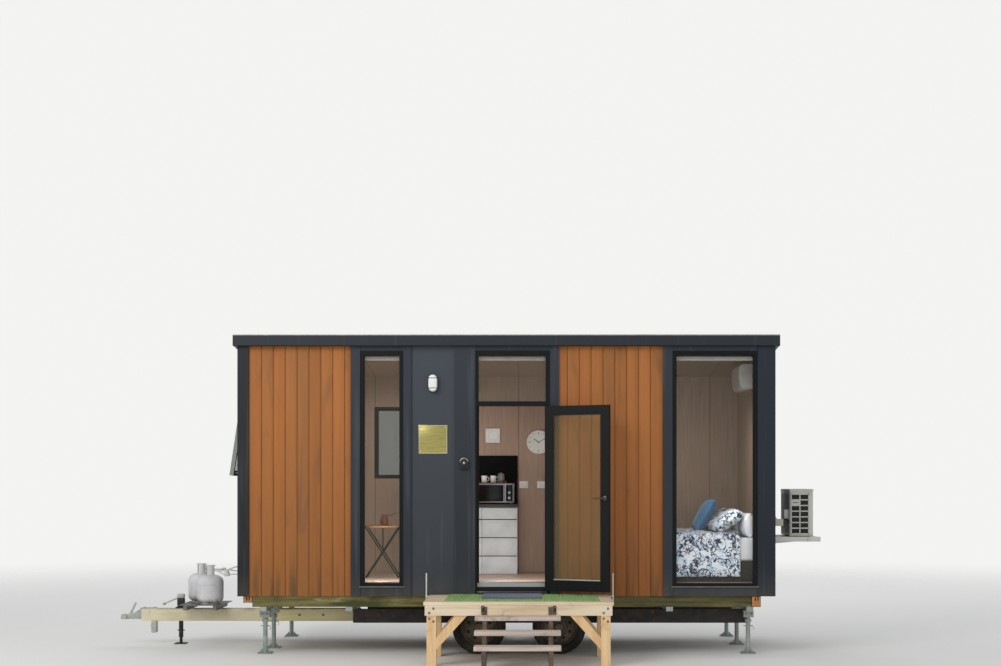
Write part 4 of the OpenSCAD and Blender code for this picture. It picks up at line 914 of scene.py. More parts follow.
WORKTOP = plastic("worktop_laminate", (54, 52, 50), 0.3)
BLACK_LAMINATE = satin_black("black_laminate", (9, 10, 11), 0.5)
BLACK_GLASS = plastic("black_panel", (7, 8, 9), 0.2)
TABLE_WOOD = sawn_timber("table_top", [(96, 68, 44), (124, 90, 60), (146, 110, 78)], "X",
                         roughness=0.45)
DARK_WEAVE = woven("bed_weave", (17, 16, 15), (27, 25, 24), 800)
WHITE_COTTON = woven("white_cotton", (230, 233, 239), (222, 226, 234), 1300)
PRINTED_COTTON = woven("printed_cotton", (214, 222, 230), (204, 214, 224), 1300, blot=(28, 38, 68))
BLUE_CUSHION = woven("blue_cushion", (80, 134, 176), (66, 116, 158), 900)
COPPER = brushed_metal("copper", (196, 122, 84), 0.3)

dress(FRONT_STEEL, "steel_cladding")
dress(FASCIA_STEEL, "roof_flashing")
dress(LEFT_WALL_SKIN, "left_end_wall")
dress(RIGHT_WALL_SKIN, "right_end_wall")
dress(BACK_WALL_SKIN, "back_wall")
dress(ROOF_SKIN, "roof_panel")
dress(PLYWOOD, "front_wall", "front_wall_header", "front_wall_base")
dress(FLOOR_BOARDS, "floor_panel")
dress(MOSSY, "floor_bearers", "floor_joists")
dress(ZINC, "chassis_crossmembers", "stabiliser_legs")
dress(CHASSIS_IRON, "chassis_rails")
dress(DULL_ZINC, "bottle_tray")
dress(AXLE_IRON, "axles")
dress(BLACK, "front_window_frames", "transom_frame", "door_jambs", "door_leaf",
      "side_window_frames")
# The awning sash's front edge gets a painted highlight.
dress(satin_black("highlight_edged_black", highlight_and_wear=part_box("awning_sash")[0].y + 0.008), "awning_sash")
dress(WINDOW_GLASS, "window_glass")
dress(DOOR_GLASS, "door_glass")
dress(SILL_METAL, "door_sill")
dress(WHITE_SHELF, "outdoor_unit_shelf")
dress(WHITE_PLASTIC, "gas_pipes")
dress(PINE_X, "landing_frame")
dress(POST_PINE, "landing_legs")
dress(STRINGER_PINE, "step_stringers")

# ---------------------------------------------------------------- cladding

BOARD_FACE, BOARD_BACK = CABIN.y - 1.175, CABIN.y - 1.155
GROOVE = 0.007


def board_panel(name, left, right, joints, finish):
    """Upright boards with a narrow groove between them, on a thin backing."""
    edges = [left, *joints, right]
    boards = []
    for first, last in zip(edges, edges[1:]):
        start_x = first + (GROOVE / 2 if first != left else 0)
        end_x = last - (GROOVE / 2 if last != right else 0)
        boards.append(block((start_x, BOARD_FACE, WALL_FOOT), (end_x, BOARD_BACK - 0.004, EAVE),
                            0.002, 2))
    boards.append(block((left, BOARD_BACK - 0.006, WALL_FOOT), (right, BOARD_BACK, EAVE), 0))
    return done(boards, name, finish, stands_for="timber_cladding")


clad_low, clad_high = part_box("timber_cladding")
left_edge, right_edge = clad_low.x, clad_high.x
board_panel("left_timber_boards", left_edge, CABIN.x - 1.736, LEFT_JOINTS, LEFT_BOARDS)
board_panel("right_timber_boards", CABIN.x + 0.585, right_edge, RIGHT_JOINTS, RIGHT_BOARDS)

fascia_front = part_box("roof_flashing")[0].y
roof_high = cad_box[1][2]
fascia_left, fascia_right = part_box("roof_flashing")[0].x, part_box("roof_flashing")[1].x
# Painted highlight: a thin pale strip on the top of the fascia face stands for its lit top edge.
done(block((fascia_left, fascia_front - 0.003, roof_high - 0.011),
           (fascia_right, fascia_front, roof_high), 0.001), "fascia_highlight_strip", PALE_ZINC)
done(block((fascia_left + 0.002, fascia_front - 0.002, EAVE),
           (fascia_right - 0.002, fascia_front, EAVE + 0.006), 0.0008), "fascia_drip", BLACK)


def rib(length):
    """One folded rib of wall sheet, standing on the plane Y = 0 and facing -Y."""
    width, crown, height = 0.034, 0.018, 0.012
    outline = [(-width / 2, 0), (-crown / 2, -height), (crown / 2, -height), (width / 2, 0)]
    return cut_out(outline, length, 0.001, "Z")


def wall_ribs(name, spans, turn, face):
    """Folded ribs on a wall. Each span is (place along the wall, foot, top)."""
    made = []
    for along, foot, top in spans:
        made.append(set_in(rib(top - foot), face(along, foot), turn, "Z"))
    return done(made, name, DARK_STEEL)


def eave_at(y):
    """Height of the underside of the roof at a place in the model's frame."""
    return EAVE - (y - BOARD_BACK) * ROOF_FALL


awning_low, awning_high = at(0, -0.8, 1.99), at(0, 0.1, 2.93)
RIB_PITCH = 0.2
left_spans, right_spans = [], []
for step in range(-5, 6):
    y = CABIN.y + step * RIB_PITCH
    top = eave_at(y) - 0.004
    if awning_low.y - 0.03 < y < awning_high.y + 0.03:
        left_spans += [(y, WALL_FOOT, awning_low.z - 0.01), (y, awning_high.z + 0.03, top)]
    else:
        left_spans.append((y, WALL_FOOT, top))
    right_spans.append((y, WALL_FOOT, top))
wall_ribs("left_wall_ribs", left_spans, -QUARTER_TURN, lambda y, z: (LEFT_WALL, y, z))
wall_ribs("right_wall_ribs", right_spans, QUARTER_TURN, lambda y, z: (RIGHT_WALL, y, z))
back_window_low, back_window_high = at(-1.69, 0, 1.97), at(-0.79, 0, 2.87)
back_spans = []
for step in range(-14, 15):
    x = CABIN.x + step * RIB_PITCH
    top = eave_at(BACK_WALL) - 0.004
    if back_window_low.x - 0.03 < x < back_window_high.x + 0.03:
        back_spans += [(x, WALL_FOOT, back_window_low.z - 0.01),
                       (x, back_window_high.z + 0.01, top)]
    else:
        back_spans.append((x, WALL_FOOT, top))
wall_ribs("back_wall_ribs", back_spans, math.pi, lambda x, z: (x, BACK_WALL, z))

ROOF_TOP = EAVE + 0.09
slope = Matrix.Identity(4)
slope[2][1] = -ROOF_FALL
slope[2][3] = BOARD_BACK * ROOF_FALL
roof_rib = cut_out([(-0.031, -0.001), (-0.0147, 0.0246), (0.0147, 0.0246), (0.031, -0.001)],
                   BACK_WALL - BOARD_BACK - 0.004, 0.0012, "Y", BOARD_BACK + 0.002)
roof_rib.data.transform(Matrix.Translation((CABIN.x - 2.8, 0, ROOF_TOP)))
roof_ribs = copies(roof_rib, [(0.28 * i, 0, 0) for i in range(1, 21)])
roof_ribs.data.transform(slope)
done(roof_ribs, "roof_sheet_ribs", ROOF_SKIN)
gutter_y, gutter_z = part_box("roof_flashing")[1].y, eave_at(BACK_WALL)
done(cut_out([(gutter_y - 0.06, gutter_z + 0.085), (gutter_y - 0.003, gutter_z + 0.085),
              (gutter_y - 0.003, gutter_z - 0.06), (gutter_y - 0.05, gutter_z - 0.075),
              (gutter_y - 0.06, gutter_z - 0.06)], fascia_right - fascia_left - 0.01, 0.004, "X",
             fascia_left + 0.005), "back_gutter", DARK_STEEL)

# ---------------------------------------------------------------- windows


def bead_round(low, high, width, finish, name, body="root", move=None):
    """Four beads round an opening in the X-Z plane, mitred into one piece."""
    (x0, y0, z0), (x1, y1, z1) = low, high
    start()
    bpy.ops.mesh.primitive_plane_add(size=1, location=((x0 + x1) / 2, y0, (z0 + z1) / 2),
                                     rotation=(QUARTER_TURN, 0, 0))
    piece = bpy.context.object
    piece.scale = (x1 - x0, z1 - z0, 1)
    settle()
    open_mesh()
    bpy.ops.mesh.inset(thickness=width, depth=0)
    bpy.ops.mesh.delete(type="FACE")
    bpy.ops.mesh.select_all(action="SELECT")
    bpy.ops.mesh.extrude_region_move(TRANSFORM_OT_translate={"value": (0, y1 - y0, 0)})
    close_mesh()
    ease(piece, 0.0015)
    if move:
        piece.data.transform(move)
    return done(piece, name, finish, body)


SILL, HEAD = WALL_FOOT + 0.114, EAVE - 0.05
NARROW = (CABIN.x - 1.632, CABIN.x - 1.149)
PICTURE = (CABIN.x + 1.851, CABIN.x + 2.801)
DOOR = (CABIN.x - 0.350, CABIN.x + 0.487)
TRANSOM = (DOOR[0] + 0.023, DOOR[1] - 0.035)
FRAME_FACE = CABIN.y - 1.190
PANE_FACE = FRAME_FACE + 0.030
TRANSOM_FOOT = FLOOR_TOP + 1.976

for name, (left, right), side, foot, top, face in (
    ("narrow_window", NARROW, 0.042, SILL + 0.027, HEAD - 0.05, FRAME_FACE),
    ("picture_window", PICTURE, 0.042, SILL + 0.027, HEAD - 0.05, FRAME_FACE),
    ("transom", TRANSOM, 0.010, TRANSOM_FOOT + 0.047, HEAD - 0.05, PANE_FACE - 0.022),
):
    inner = (left + side, right - side)
    bead_round((inner[0] - 0.001, PANE_FACE - 0.012, foot - 0.001),
               (inner[1] + 0.001, PANE_FACE, top + 0.001), 0.007, GASKET, name + "_gasket")
    blind_y = PANE_FACE + 0.024 + 0.012
    roll = turned([(0.014, inner[0] + 0.004), (0.016, inner[0] + 0.006), (0.016, inner[1] - 0.006),
                   (0.014, inner[1] - 0.004)], 20, (0, blind_y + 0.02, top - 0.024), "X")
    bar = block((inner[0] + 0.004, blind_y, top - 0.056),
                (inner[1] - 0.004, blind_y + 0.012, top - 0.034), 0.003)
    done([roll, bar], name + "_blind_cassette", CREAM_PLASTIC)

for name, (left, right) in (("narrow_sill_flashing", NARROW), ("picture_sill_flashing", PICTURE)):
    done(block((left - 0.012, CABIN.y - 1.207, SILL - 0.014),
               (right + 0.012, CABIN.y - 1.188, SILL - 0.002), 0.002), name, DULL_ZINC)

for name, first, last in (("back_window_gasket_out", BACK_WALL - 0.06, BACK_WALL - 0.05),
                          ("back_window_gasket_in", BACK_WALL - 0.036 - 0.006, BACK_WALL - 0.03)):
    bead_round((back_window_low.x + 0.041, first, back_window_low.z + 0.041),
               (back_window_high.x - 0.041, last, back_window_high.z - 0.041), 0.007, GASKET, name)
done(block((back_window_low.x - 0.02, BACK_WALL - 0.002, back_window_low.z - 0.012),
           (back_window_high.x + 0.02, BACK_WALL + 0.022, back_window_low.z), 0.002),
     "back_sill_flashing", PALE_ZINC)

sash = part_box("awning_sash")
stay_z = sash[0].z + 0.03
STAYS_Y = (awning_low.y + 0.06, awning_high.y - 0.06)
stay_parts = [tube([(LEFT_WALL + 0.004, y, stay_z), (LEFT_WALL - 0.135, y, stay_z + 0.004)], 0.004)
              for y in STAYS_Y]
stay_parts += [block((LEFT_WALL - 0.006, y - 0.012, stay_z - 0.016),
                     (LEFT_WALL + 0.002, y + 0.012, stay_z + 0.016), 0.002) for y in STAYS_Y]
done(stay_parts, "awning_stays", SATIN_STEEL)

# ---------------------------------------------------------------- door

HINGE = at(0.4495, -1.210, 0)
REST_TURN = math.radians(155)
OPEN = Matrix.Translation(HINGE) @ Matrix.Rotation(REST_TURN, 4, "Z") @ Matrix.Translation(-HINGE)
LEAF_X = (DOOR[0] + 0.028, DOOR[1] - 0.040)
LEAF_Y = (CABIN.y - 1.195, CABIN.y - 1.150)
LEAF_Z = (FLOOR_TOP - 0.078, TRANSOM_FOOT - 0.005)
glass_x = (LEAF_X[0] + 0.098, LEAF_X[1] - 0.098)
glass_z = (LEAF_Z[0] + 0.112, LEAF_Z[1] - 0.098)
for name, y in (("leaf_gasket_outer", (LEAF_Y[0] + 0.004, LEAF_Y[0] + 0.0105)),
                ("leaf_gasket_inner", (LEAF_Y[1] - 0.0105, LEAF_Y[1] - 0.004))):
    bead_round((glass_x[0] - 0.001, y[0], glass_z[0] - 0.001),
               (glass_x[1] + 0.001, y[1], glass_z[1] + 0.001), 0.008, GASKET, name, "door",
               move=OPEN)
weather_bar = block((glass_x[0] + 0.008, LEAF_Y[1] - 0.0105, glass_z[0] + 0.007),
                    (glass_x[1] - 0.008, LEAF_Y[1] - 0.006, glass_z[0] + 0.019), 0.001)
weather_bar.data.transform(OPEN)
done(weather_bar, "leaf_glazing_bead", PALE_ZINC, "door")

grip_x, grip_z = LEAF_X[0] + 0.049, FLOOR_TOP + 0.950
handle_parts = []
for face, out in ((LEAF_Y[0], -1), (LEAF_Y[1], 1)):
    rose = set_in(turned([(0.024, 0), (0.026, 0.002), (0.026, 0.007), (0.023, 0.009)], 40),
                  (grip_x, face, grip_z), -out * QUARTER_TURN)
    lever = tube([(grip_x, face + out * 0.004, grip_z), (grip_x, face + out * 0.038, grip_z),
                  (grip_x + 0.012, face + out * 0.048, grip_z),
                  (grip_x + 0.06, face + out * 0.049, grip_z + 0.001),
                  (grip_x + 0.112, face + out * 0.047, grip_z)], 0.0085, 16, True)
    handle_parts += [rose, lever]
handle = gathered(handle_parts)
handle.data.transform(OPEN)
done(handle, "lever_handles", HANDLE_METAL, "door", "door_handle")

sill_low, sill_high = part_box("door_sill")
step_top = FLOOR_TOP - 0.100
sill_ribs = copies(block((sill_low.x + 0.002, sill_low.y + 0.002, step_top - 0.001),
                         (sill_high.x - 0.002, sill_low.y + 0.006, step_top + 0.0025), 0.0008),
                   [(0, 0.009 * i, 0) for i in range(1, 5)])
done(sill_ribs, "sill_ribs", MILL_ALUMINIUM)
done(block((sill_low.x + 0.02, LEAF_Y[1] + 0.009, FLOOR_TOP - 0.001),
           (sill_high.x - 0.02, sill_high.y - 0.004, FLOOR_TOP + 0.004), 0.0015), "threshold_plate",
     SATIN_STEEL)

# ---------------------------------------------------------------- fittings on the front


def stadium(half_width, half_height, steps=14):
    """The outline of an upright oval with straight sides, about the origin."""
    points = []
    for centre, first in ((half_height, 0), (-half_height, math.pi)):
        for i in range(steps + 1):
            angle = first + math.pi * i / steps
            points.append((half_width * math.cos(angle), centre + half_width * math.sin(angle)))
    return points


RECESS_MIDDLE = CABIN.x - 0.8195
light_z = FLOOR_TOP + 2.229


def oval(half_width, half_height, depth, place, edge):
    outline = [(RECESS_MIDDLE + a, light_z + b) for a, b in stadium(half_width, half_height)]
    return cut_out(outline, depth, edge, "Y", place)


plate = oval(0.054, 0.045, 0.024, BOARD_FACE - 0.024, 0.006)
rim = oval(0.0505, 0.045, 0.012, BOARD_FACE - 0.034, 0.003)
bars = [block((RECESS_MIDDLE - 0.050, BOARD_FACE - 0.083, light_z + z - 0.004),
              (RECESS_MIDDLE + 0.050, BOARD_FACE - 0.03, light_z + z + 0.004), 0.002)
        for z in (-0.056, 0.056)]
done([plate, rim, *bars], "wall_light_cage", BLACK)
lens = oval(0.0475, 0.045, 0.052, BOARD_FACE - 0.082, 0.016)
done(lens, "wall_light_lens", OPAL, stands_for="wall_light")
lens_bars = copies(oval(0.0487, 0.0452, 0.003, BOARD_FACE - 0.042, 0),
                   [(0, -0.012 * i, 0) for i in range(1, 3)])
done(lens_bars, "wall_light_lens_rings", OPAL)

sign_z = FLOOR_TOP + 1.443
SIGN = 0.160
sign = block((RECESS_MIDDLE - SIGN, BOARD_FACE - 0.006, sign_z),
             (RECESS_MIDDLE + SIGN, BOARD_FACE, sign_z + 2 * SIGN), 0.0015)
done(sign, "sign_plate_brass", BRASS, stands_for="sign_plate")
bead_round((RECESS_MIDDLE - SIGN, BOARD_FACE - 0.0085, sign_z),
           (RECESS_MIDDLE + SIGN, BOARD_FACE - 0.0055, sign_z + 2 * SIGN), 0.012, BRASS_EDGE,
           "sign_rim")
screw = set_in(turned([(0.0065, 0), (0.0065, 0.0015), (0.004, 0.003)], 16),
               (RECESS_MIDDLE - SIGN + 0.025, BOARD_FACE - 0.0055, sign_z + 0.025))
done(copies(screw, [(2 * SIGN - 0.05, 0, 0), (0, 0, 2 * SIGN - 0.05),
                    (2 * SIGN - 0.05, 0, 2 * SIGN - 0.05)]), "sign_screws", BRASS_EDGE)

key_low, key_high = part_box("key_box")
case = block(key_low + Vector((0, 0.004, 0)), key_high - Vector((0, 0, 0.022)), 0.008, 3)
done(case, "key_box_case", JOCKEY_IRON, stands_for="key_box")
key_middle = (key_low.x + key_high.x) / 2
HALF_ROUND = [math.pi * i / 12 for i in range(13)]
hood = cut_out([(key_middle + 0.046 * math.cos(a), key_high.z - 0.040 + 0.040 * math.sin(a))
                for a in HALF_ROUND], key_high.y - key_low.y - 0.004, 0.003, "Y", key_low.y + 0.002)
done(hood, "key_box_hood", DARK_STRAP)
arch = [(key_middle + 0.043 * math.cos(a), key_low.y + 0.001,
         key_high.z - 0.042 + 0.038 * math.sin(a)) for a in HALF_ROUND]
button = set_in(turned([(0.013, -0.001), (0.013, 0.003), (0.009, 0.005)], 20),
                (key_middle, key_low.y + 0.004, key_high.z - 0.058))
done([tube(arch, 0.005, 8, True), button], "key_box_shackle", SATIN_STEEL)
dial = block((key_middle - 0.028, key_low.y, key_low.z + 0.02),
             (key_middle + 0.028, key_low.y + 0.006, key_low.z + 0.064), 0.003)
done(dial, "key_box_cover", GASKET)


def slab(back, out, x, near, z, edge):
    """A block between two depths counted outwards, along out * Y, from a face at back."""
    sides = sorted((back + out * near[0], back + out * near[1]))
    return block((x[0], sides[0], z[0]), (x[1], sides[1], z[1]), edge, 3)


lamp_low, lamp_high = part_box("marker_lamps")
BEARER_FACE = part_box("floor_bearers")[0].y
LAMP_W = 0.105
lamp_parts, lamp_shells = [], []
for x, back, foot in ((lamp_low.x, BEARER_FACE + 0.030, WALL_FOOT - 0.075),
                      (lamp_high.x - LAMP_W, BEARER_FACE, lamp_low.z)):
    for out in (-1, 1):
        base_y = back if out < 0 else 2 * CABIN.y - back
        lamp_shells.append(slab(base_y, out, (x, x + LAMP_W), (0, 0.012), (foot, WALL_FOOT), 0.003))
        lamp_shells += [slab(base_y, out, (x + shift, x + shift + 0.016), (0.010, 0.0285),
                             (WALL_FOOT - 0.056, WALL_FOOT - 0.010), 0.003)
                        for shift in (0.034, 0.062)]
        lamp_parts.append(slab(base_y, out, (x + 0.005, x + LAMP_W - 0.005), (0.008, 0.027),
                               (foot + 0.005, WALL_FOOT - 0.005), 0.006))
        lamp_parts += [slab(base_y, out, (x + 0.012 + 0.012 * i, x + 0.016 + 0.012 * i),
                            (0.020, 0.030), (foot + 0.010, WALL_FOOT - 0.046), 0.001)
                       for i in range(7)]
done(lamp_parts, "marker_lamp_lenses", AMBER, stands_for="marker_lamps")
done(lamp_shells, "marker_lamp_bases", GASKET)

# ---------------------------------------------------------------- outdoor unit

case_low, case_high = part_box("outdoor_unit")
case_high = Vector((case_high.x - 0.018, case_high.y, case_high.z))
body_block = block(case_low + Vector((0, 0.006, 0.012)), case_high - Vector((0, 0, 0.018)), 0.010,
                   3)
lid = block((case_low.x - 0.004, case_low.y, case_high.z - 0.03),
            (case_high.x + 0.004, case_high.y, case_high.z), 0.008, 3)
feet = [block((case_low.x + 0.03, y, case_low.z), (case_high.x - 0.02, y + 0.04,
                                                   case_low.z + 0.014), 0.002)
        for y in (case_low.y + 0.1, case_high.y - 0.14)]
grille_parts = []
GRILLE_X, GRILLE_Z = (case_low.x + 0.010,
                      case_high.x - 0.046), (case_low.z + 0.032, case_high.z - 0.052)
grille_face = case_low.y + 0.006
columns, rows = 2, 7
bar_w = 0.014
for i in range(columns + 1):
    x = GRILLE_X[0] + (GRILLE_X[1] - GRILLE_X[0] - bar_w) * i / columns
    grille_parts.append(block((x, grille_face - 0.008, GRILLE_Z[0]),
                              (x + bar_w, grille_face + 0.004, GRILLE_Z[1]), 0.002))
for j in range(rows + 1):
    z = GRILLE_Z[0] + (GRILLE_Z[1] - GRILLE_Z[0] - bar_w) * j / rows
    grille_parts.append(block((GRILLE_X[0], grille_face - 0.008, z),
                              (GRILLE_X[1], grille_face + 0.004, z + bar_w), 0.002))
fan_y, fan_z = case_low.y + 0.280, case_low.z + 0.280
FAN_R = 0.234
for radius in (FAN_R, 0.185, 0.142, 0.099, 0.056):
    bulge = 0.014 * (1 - (radius / FAN_R) ** 2)
    grille_parts.append(spun([(radius - 0.004, bulge - 0.002), (radius + 0.004, bulge - 0.002),
                              (radius + 0.004, bulge + 0.005), (radius - 0.004, bulge + 0.005)], 56,
                             (case_high.x, fan_y, fan_z), "X"))
cell = ((GRILLE_X[1] - GRILLE_X[0] - bar_w) / columns, (GRILLE_Z[1] - GRILLE_Z[0] - bar_w) / rows)
grille_parts.append(block((GRILLE_X[0] + 0.010, grille_face - 0.010,
                           GRILLE_Z[1] - 2 * cell[1] - 0.008),
                          (GRILLE_X[0] + cell[0] + 0.010, grille_face + 0.004,
                           GRILLE_Z[1] - cell[1] - 0.008), 0.004))
spoke = block((case_high.x - 0.002, fan_y - 0.004, fan_z + 0.04),
              (case_high.x + 0.008, fan_y + 0.004, fan_z + FAN_R), 0.002)
spokes = [spoke]
for i in range(1, 8):
    spokes.append(turned_about(twin_of(spoke), math.pi / 4 * i, "X", (0, fan_y, fan_z)))
hub = turned([(0.045, 0), (0.05, 0.006), (0.045, 0.014), (0.02, 0.017)], 32,
             (case_high.x, fan_y, fan_z), "X")
done([body_block, lid, *feet, *grille_parts, *spokes, hub], "outdoor_unit_case", WHITE_ENAMEL,
     stands_for="outdoor_unit")
slots = [block((GRILLE_X[0], grille_face - 0.001, GRILLE_Z[0]),
               (GRILLE_X[1], grille_face + 0.002, GRILLE_Z[1]), 0.0005)]
slots.append(turned([(FAN_R, 0), (FAN_R, 0.0015), (FAN_R - 0.002, 0.002)], 56,
                    (case_high.x - 0.0008, fan_y, fan_z), "X"))
slots.append(block((GRILLE_X[0] + 0.026, grille_face - 0.0105, GRILLE_Z[1] - 1.5 * cell[1] - 0.010),
                   (GRILLE_X[0] + cell[0] - 0.006, grille_face - 0.008,
                    GRILLE_Z[1] - 1.5 * cell[1] - 0.002), 0.0005))
back_fins = [block((case_low.x - 0.001, case_low.y + 0.02, case_low.z + 0.045 + 0.0115 * i),
                   (case_low.x + 0.002, case_high.y - 0.03, case_low.z + 0.053 + 0.0115 * i),
                   0.0005) for i in range(40)]
done(slots, "outdoor_unit_slots", DARK_SLOT)
done(back_fins, "outdoor_unit_fins", GREY_FIN)

shelf_low, shelf_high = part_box("outdoor_unit_shelf")
lips = [block((shelf_low.x, y - 0.004, shelf_high.z - 0.05),
              (shelf_high.x, y + 0.004, shelf_high.z + 0.006), 0.0015)
        for y in (shelf_low.y, shelf_high.y)]
done(lips, "outdoor_unit_shelf_lips", WHITE_SHELF)

switch_x, switch_y = RIGHT_WALL, CABIN.y - 0.36
switch_case = block((switch_x + 0.07, switch_y - 0.05, 1.418),
                    (switch_x + 0.232, switch_y + 0.05, 1.498), 0.010, 3)
switch_arm = block((switch_x - 0.002, switch_y - 0.03, 1.438),
                   (switch_x + 0.08, switch_y + 0.03, 1.478), 0.004)
done([switch_case, switch_arm], "isolator_case", BEIGE_PLASTIC)
conduit = tube([(switch_x + 0.222, switch_y, 1.450), (switch_x + 0.240, switch_y, 1.485),
                (switch_x + 0.275, switch_y, 1.492), (case_low.x + 0.004, switch_y + 0.02, 1.470)],
               0.011, 12, True)
done(conduit, "isolator_conduit", DARK_SLOT)
lever_arm = turned_about(block((switch_x + 0.145, switch_y - 0.012, 1.485),
                               (switch_x + 0.170, switch_y + 0.012, 1.610), 0.004),
                         math.radians(-30), "Y", (switch_x + 0.157, 0, 1.485))
done(lever_arm, "isolator_lever", BEIGE_PLASTIC)
valve_cover = block((case_low.x - 0.055, case_low.y + 0.07, case_low.z + 0.20),
                    (case_low.x + 0.004, case_low.y + 0.20, case_low.z + 0.32), 0.008, 3)
done(valve_cover, "valve_cover", WHITE_ENAMEL)
pipe_y = CABIN.y + 0.12
done(tube([(switch_x - 0.004, pipe_y, 1.47), (switch_x + 0.08, pipe_y, 1.465),
           (case_low.x - 0.08, pipe_y, 1.44), (case_low.x + 0.010, pipe_y, 1.435)], 0.020, 14,
          True), "refrigerant_trunk", DARK_SLOT)

# ---------------------------------------------------------------- gas bottles

tray_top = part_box("bottle_tray")[1].z
bottle_places = [at(-3.68, 0.185, tray_top), at(-3.505, -0.175, tray_top)]
shells, rings_, valves = [], [], []
for place in bottle_places:
    shells.append(turned([(0.112, 0.020), (0.138, 0.034), (0.151, 0.056), (0.155, 0.078),
                          (0.155, 0.228), (0.158, 0.231), (0.158, 0.238), (0.155, 0.241),
                          (0.155, 0.262), (0.151, 0.285), (0.141, 0.306), (0.122, 0.325),
                          (0.095, 0.339), (0.060, 0.346), (0.020, 0.348)], 64, place))
    shells.append(spun([(0.108, 0.0), (0.114, 0.0), (0.114, 0.028), (0.108, 0.034)], 56, place))
    shield = spun([(0.0545, 0.338), (0.058, 0.338), (0.0595, 0.456), (0.057, 0.459),
                   (0.0545, 0.456)], 56, (0, 0, 0))
    take(shield)
    open_mesh()
    bpy.ops.mesh.bisect(plane_co=(0.042, 0, 0), plane_no=(1, 0, 0), use_fill=True, clear_outer=True)
    bpy.ops.mesh.select_all(action="SELECT")
    bpy.ops.mesh.bisect(plane_co=(-0.042, 0, 0), plane_no=(-1, 0, 0), use_fill=True,
                        clear_outer=True)
    close_mesh()
    set_in(shield, place, math.radians(20), "Z")
    rings_.append(shield)
    rings_.append(spun([(0.0535, 0.452), (0.0605, 0.452), (0.0605, 0.459), (0.0535, 0.459)], 56,
                       place))
    valves.append(turned([(0.016, 0.344), (0.017, 0.36), (0.013, 0.364), (0.013, 0.385),
                          (0.017, 0.388), (0.017, 0.408), (0.011, 0.412), (0.011, 0.42)], 24,
                         place))
    valves.append(turned([(0.024, 0.42), (0.026, 0.423), (0.026, 0.432), (0.02, 0.436)], 12, place))
done(shells, "gas_bottle_shells", BOTTLE_PAINT, stands_for="gas_bottles")
done(rings_, "gas_bottle_collars", BOTTLE_PAINT)
done(valves, "gas_bottle_valves", COPPER)

pipe_out = at(-3.440, -0.175, 0.892)
wall_pipe = tube([pipe_out, pipe_out + Vector((0.10, 0, -0.006)),
                  pipe_out + Vector((0.26, 0, 0.044)), (LEFT_WALL + 0.004, CABIN.y - 0.175, 0.955)],
                 0.010, 12, True)
regulator = block(at(-3.338, -0.205, 0.820), at(-3.278, -0.150, 0.864), 0.008, 3)
bonnet = turned([(0.026, 0.862), (0.028, 0.868), (0.024, 0.884), (0.010, 0.890)], 32,
                at(-3.308, -0.178, 0))
feed = tube([at(-3.420, -0.178, 0.888), at(-3.360, -0.178, 0.850), at(-3.308, -0.178, 0.842),
             at(-3.16, -0.178, 0.846), (LEFT_WALL + 0.004, CABIN.y - 0.178, 0.846)], 0.008, 12,
            True)
done([wall_pipe, regulator, bonnet, feed], "gas_regulator", WHITE_PLASTIC)

# ---------------------------------------------------------------- trailer

RAIL_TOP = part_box("drawbar")[1].z
BEAM_FOOT, BEAM_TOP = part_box("drawbar")[0].z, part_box("bottle_tray")[0].z
BEAM_HALF = 0.050
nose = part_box("drawbar")[0].x
sleeve = (CABIN.x - 2.8075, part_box("drawbar")[1].x)
beam_parts = [block((nose, CABIN.y - BEAM_HALF, BEAM_FOOT),
                    (sleeve[0] + 0.001, CABIN.y + BEAM_HALF, BEAM_TOP), 0.007, 3),
              block((sleeve[0], CABIN.y - 0.075, BEAM_FOOT), (sleeve[1], CABIN.y + 0.075, BEAM_TOP),
                    0.007, 3)]
beam_parts += [block((x - 0.030, CABIN.y - BEAM_HALF, BEAM_TOP - 0.001),
                     (x + 0.030, CABIN.y + BEAM_HALF, RAIL_TOP), 0.002)
               for x in (CABIN.x - 2.720, sleeve[1] - 0.040)]
done(beam_parts, "drawbar_beam", DRAWBAR, stands_for="drawbar")
sleeve_bolt = set_in(turned([(0.015, 0), (0.015, 0.010), (0.011, 0.013)], 6),
                     (sleeve[0] + 0.06, CABIN.y - 0.0745, (BEAM_FOOT + BEAM_TOP) / 2))
done(copies(sleeve_bolt, [(0.28, 0, 0), (0.56, 0, 0)]), "sleeve_bolts", BOLT)

head_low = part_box("tow_coupling")[0]
head_x = head_low.x + 0.047
coupling_z = head_low.z
cup = turned([(0.040, 0), (0.047, 0.004), (0.047, 0.030), (0.043, 0.046), (0.030, 0.057),
              (0.012, 0.062)], 40, (head_x, CABIN.y, coupling_z))
neck = cut_out([(head_x - 0.01, coupling_z + 0.012), (head_x + 0.05, coupling_z + 0.004),
                (nose - 0.010, coupling_z), (nose - 0.010, coupling_z + 0.084),
                (nose - 0.060, coupling_z + 0.082), (head_x + 0.04, coupling_z + 0.062),
                (head_x - 0.01, coupling_z + 0.056)], 0.046, 0.006, "Y", CABIN.y - 0.023)
web = cut_out([(nose - 0.008, coupling_z + 0.078), (nose - 0.008, BEAM_TOP),
               (nose - 0.085, coupling_z + 0.078)], 0.010, 0.001, "Y", CABIN.y - 0.005)
flange = block((nose - 0.010, CABIN.y - BEAM_HALF, coupling_z),
               (nose, CABIN.y + BEAM_HALF, BEAM_TOP + 0.006), 0.002)
cover = block((nose - 0.002, CABIN.y - BEAM_HALF, BEAM_TOP),
              (nose + 0.18, CABIN.y + BEAM_HALF, BEAM_TOP + 0.006), 0.002)
latch = cut_out([(head_x + 0.045, coupling_z + 0.045), (head_x + 0.075, coupling_z + 0.052),
                 (head_x + 0.138, BEAM_TOP + 0.060), (head_x + 0.124, BEAM_TOP + 0.070),
                 (head_x + 0.055, coupling_z + 0.072)], 0.030, 0.004, "Y", CABIN.y - 0.015)
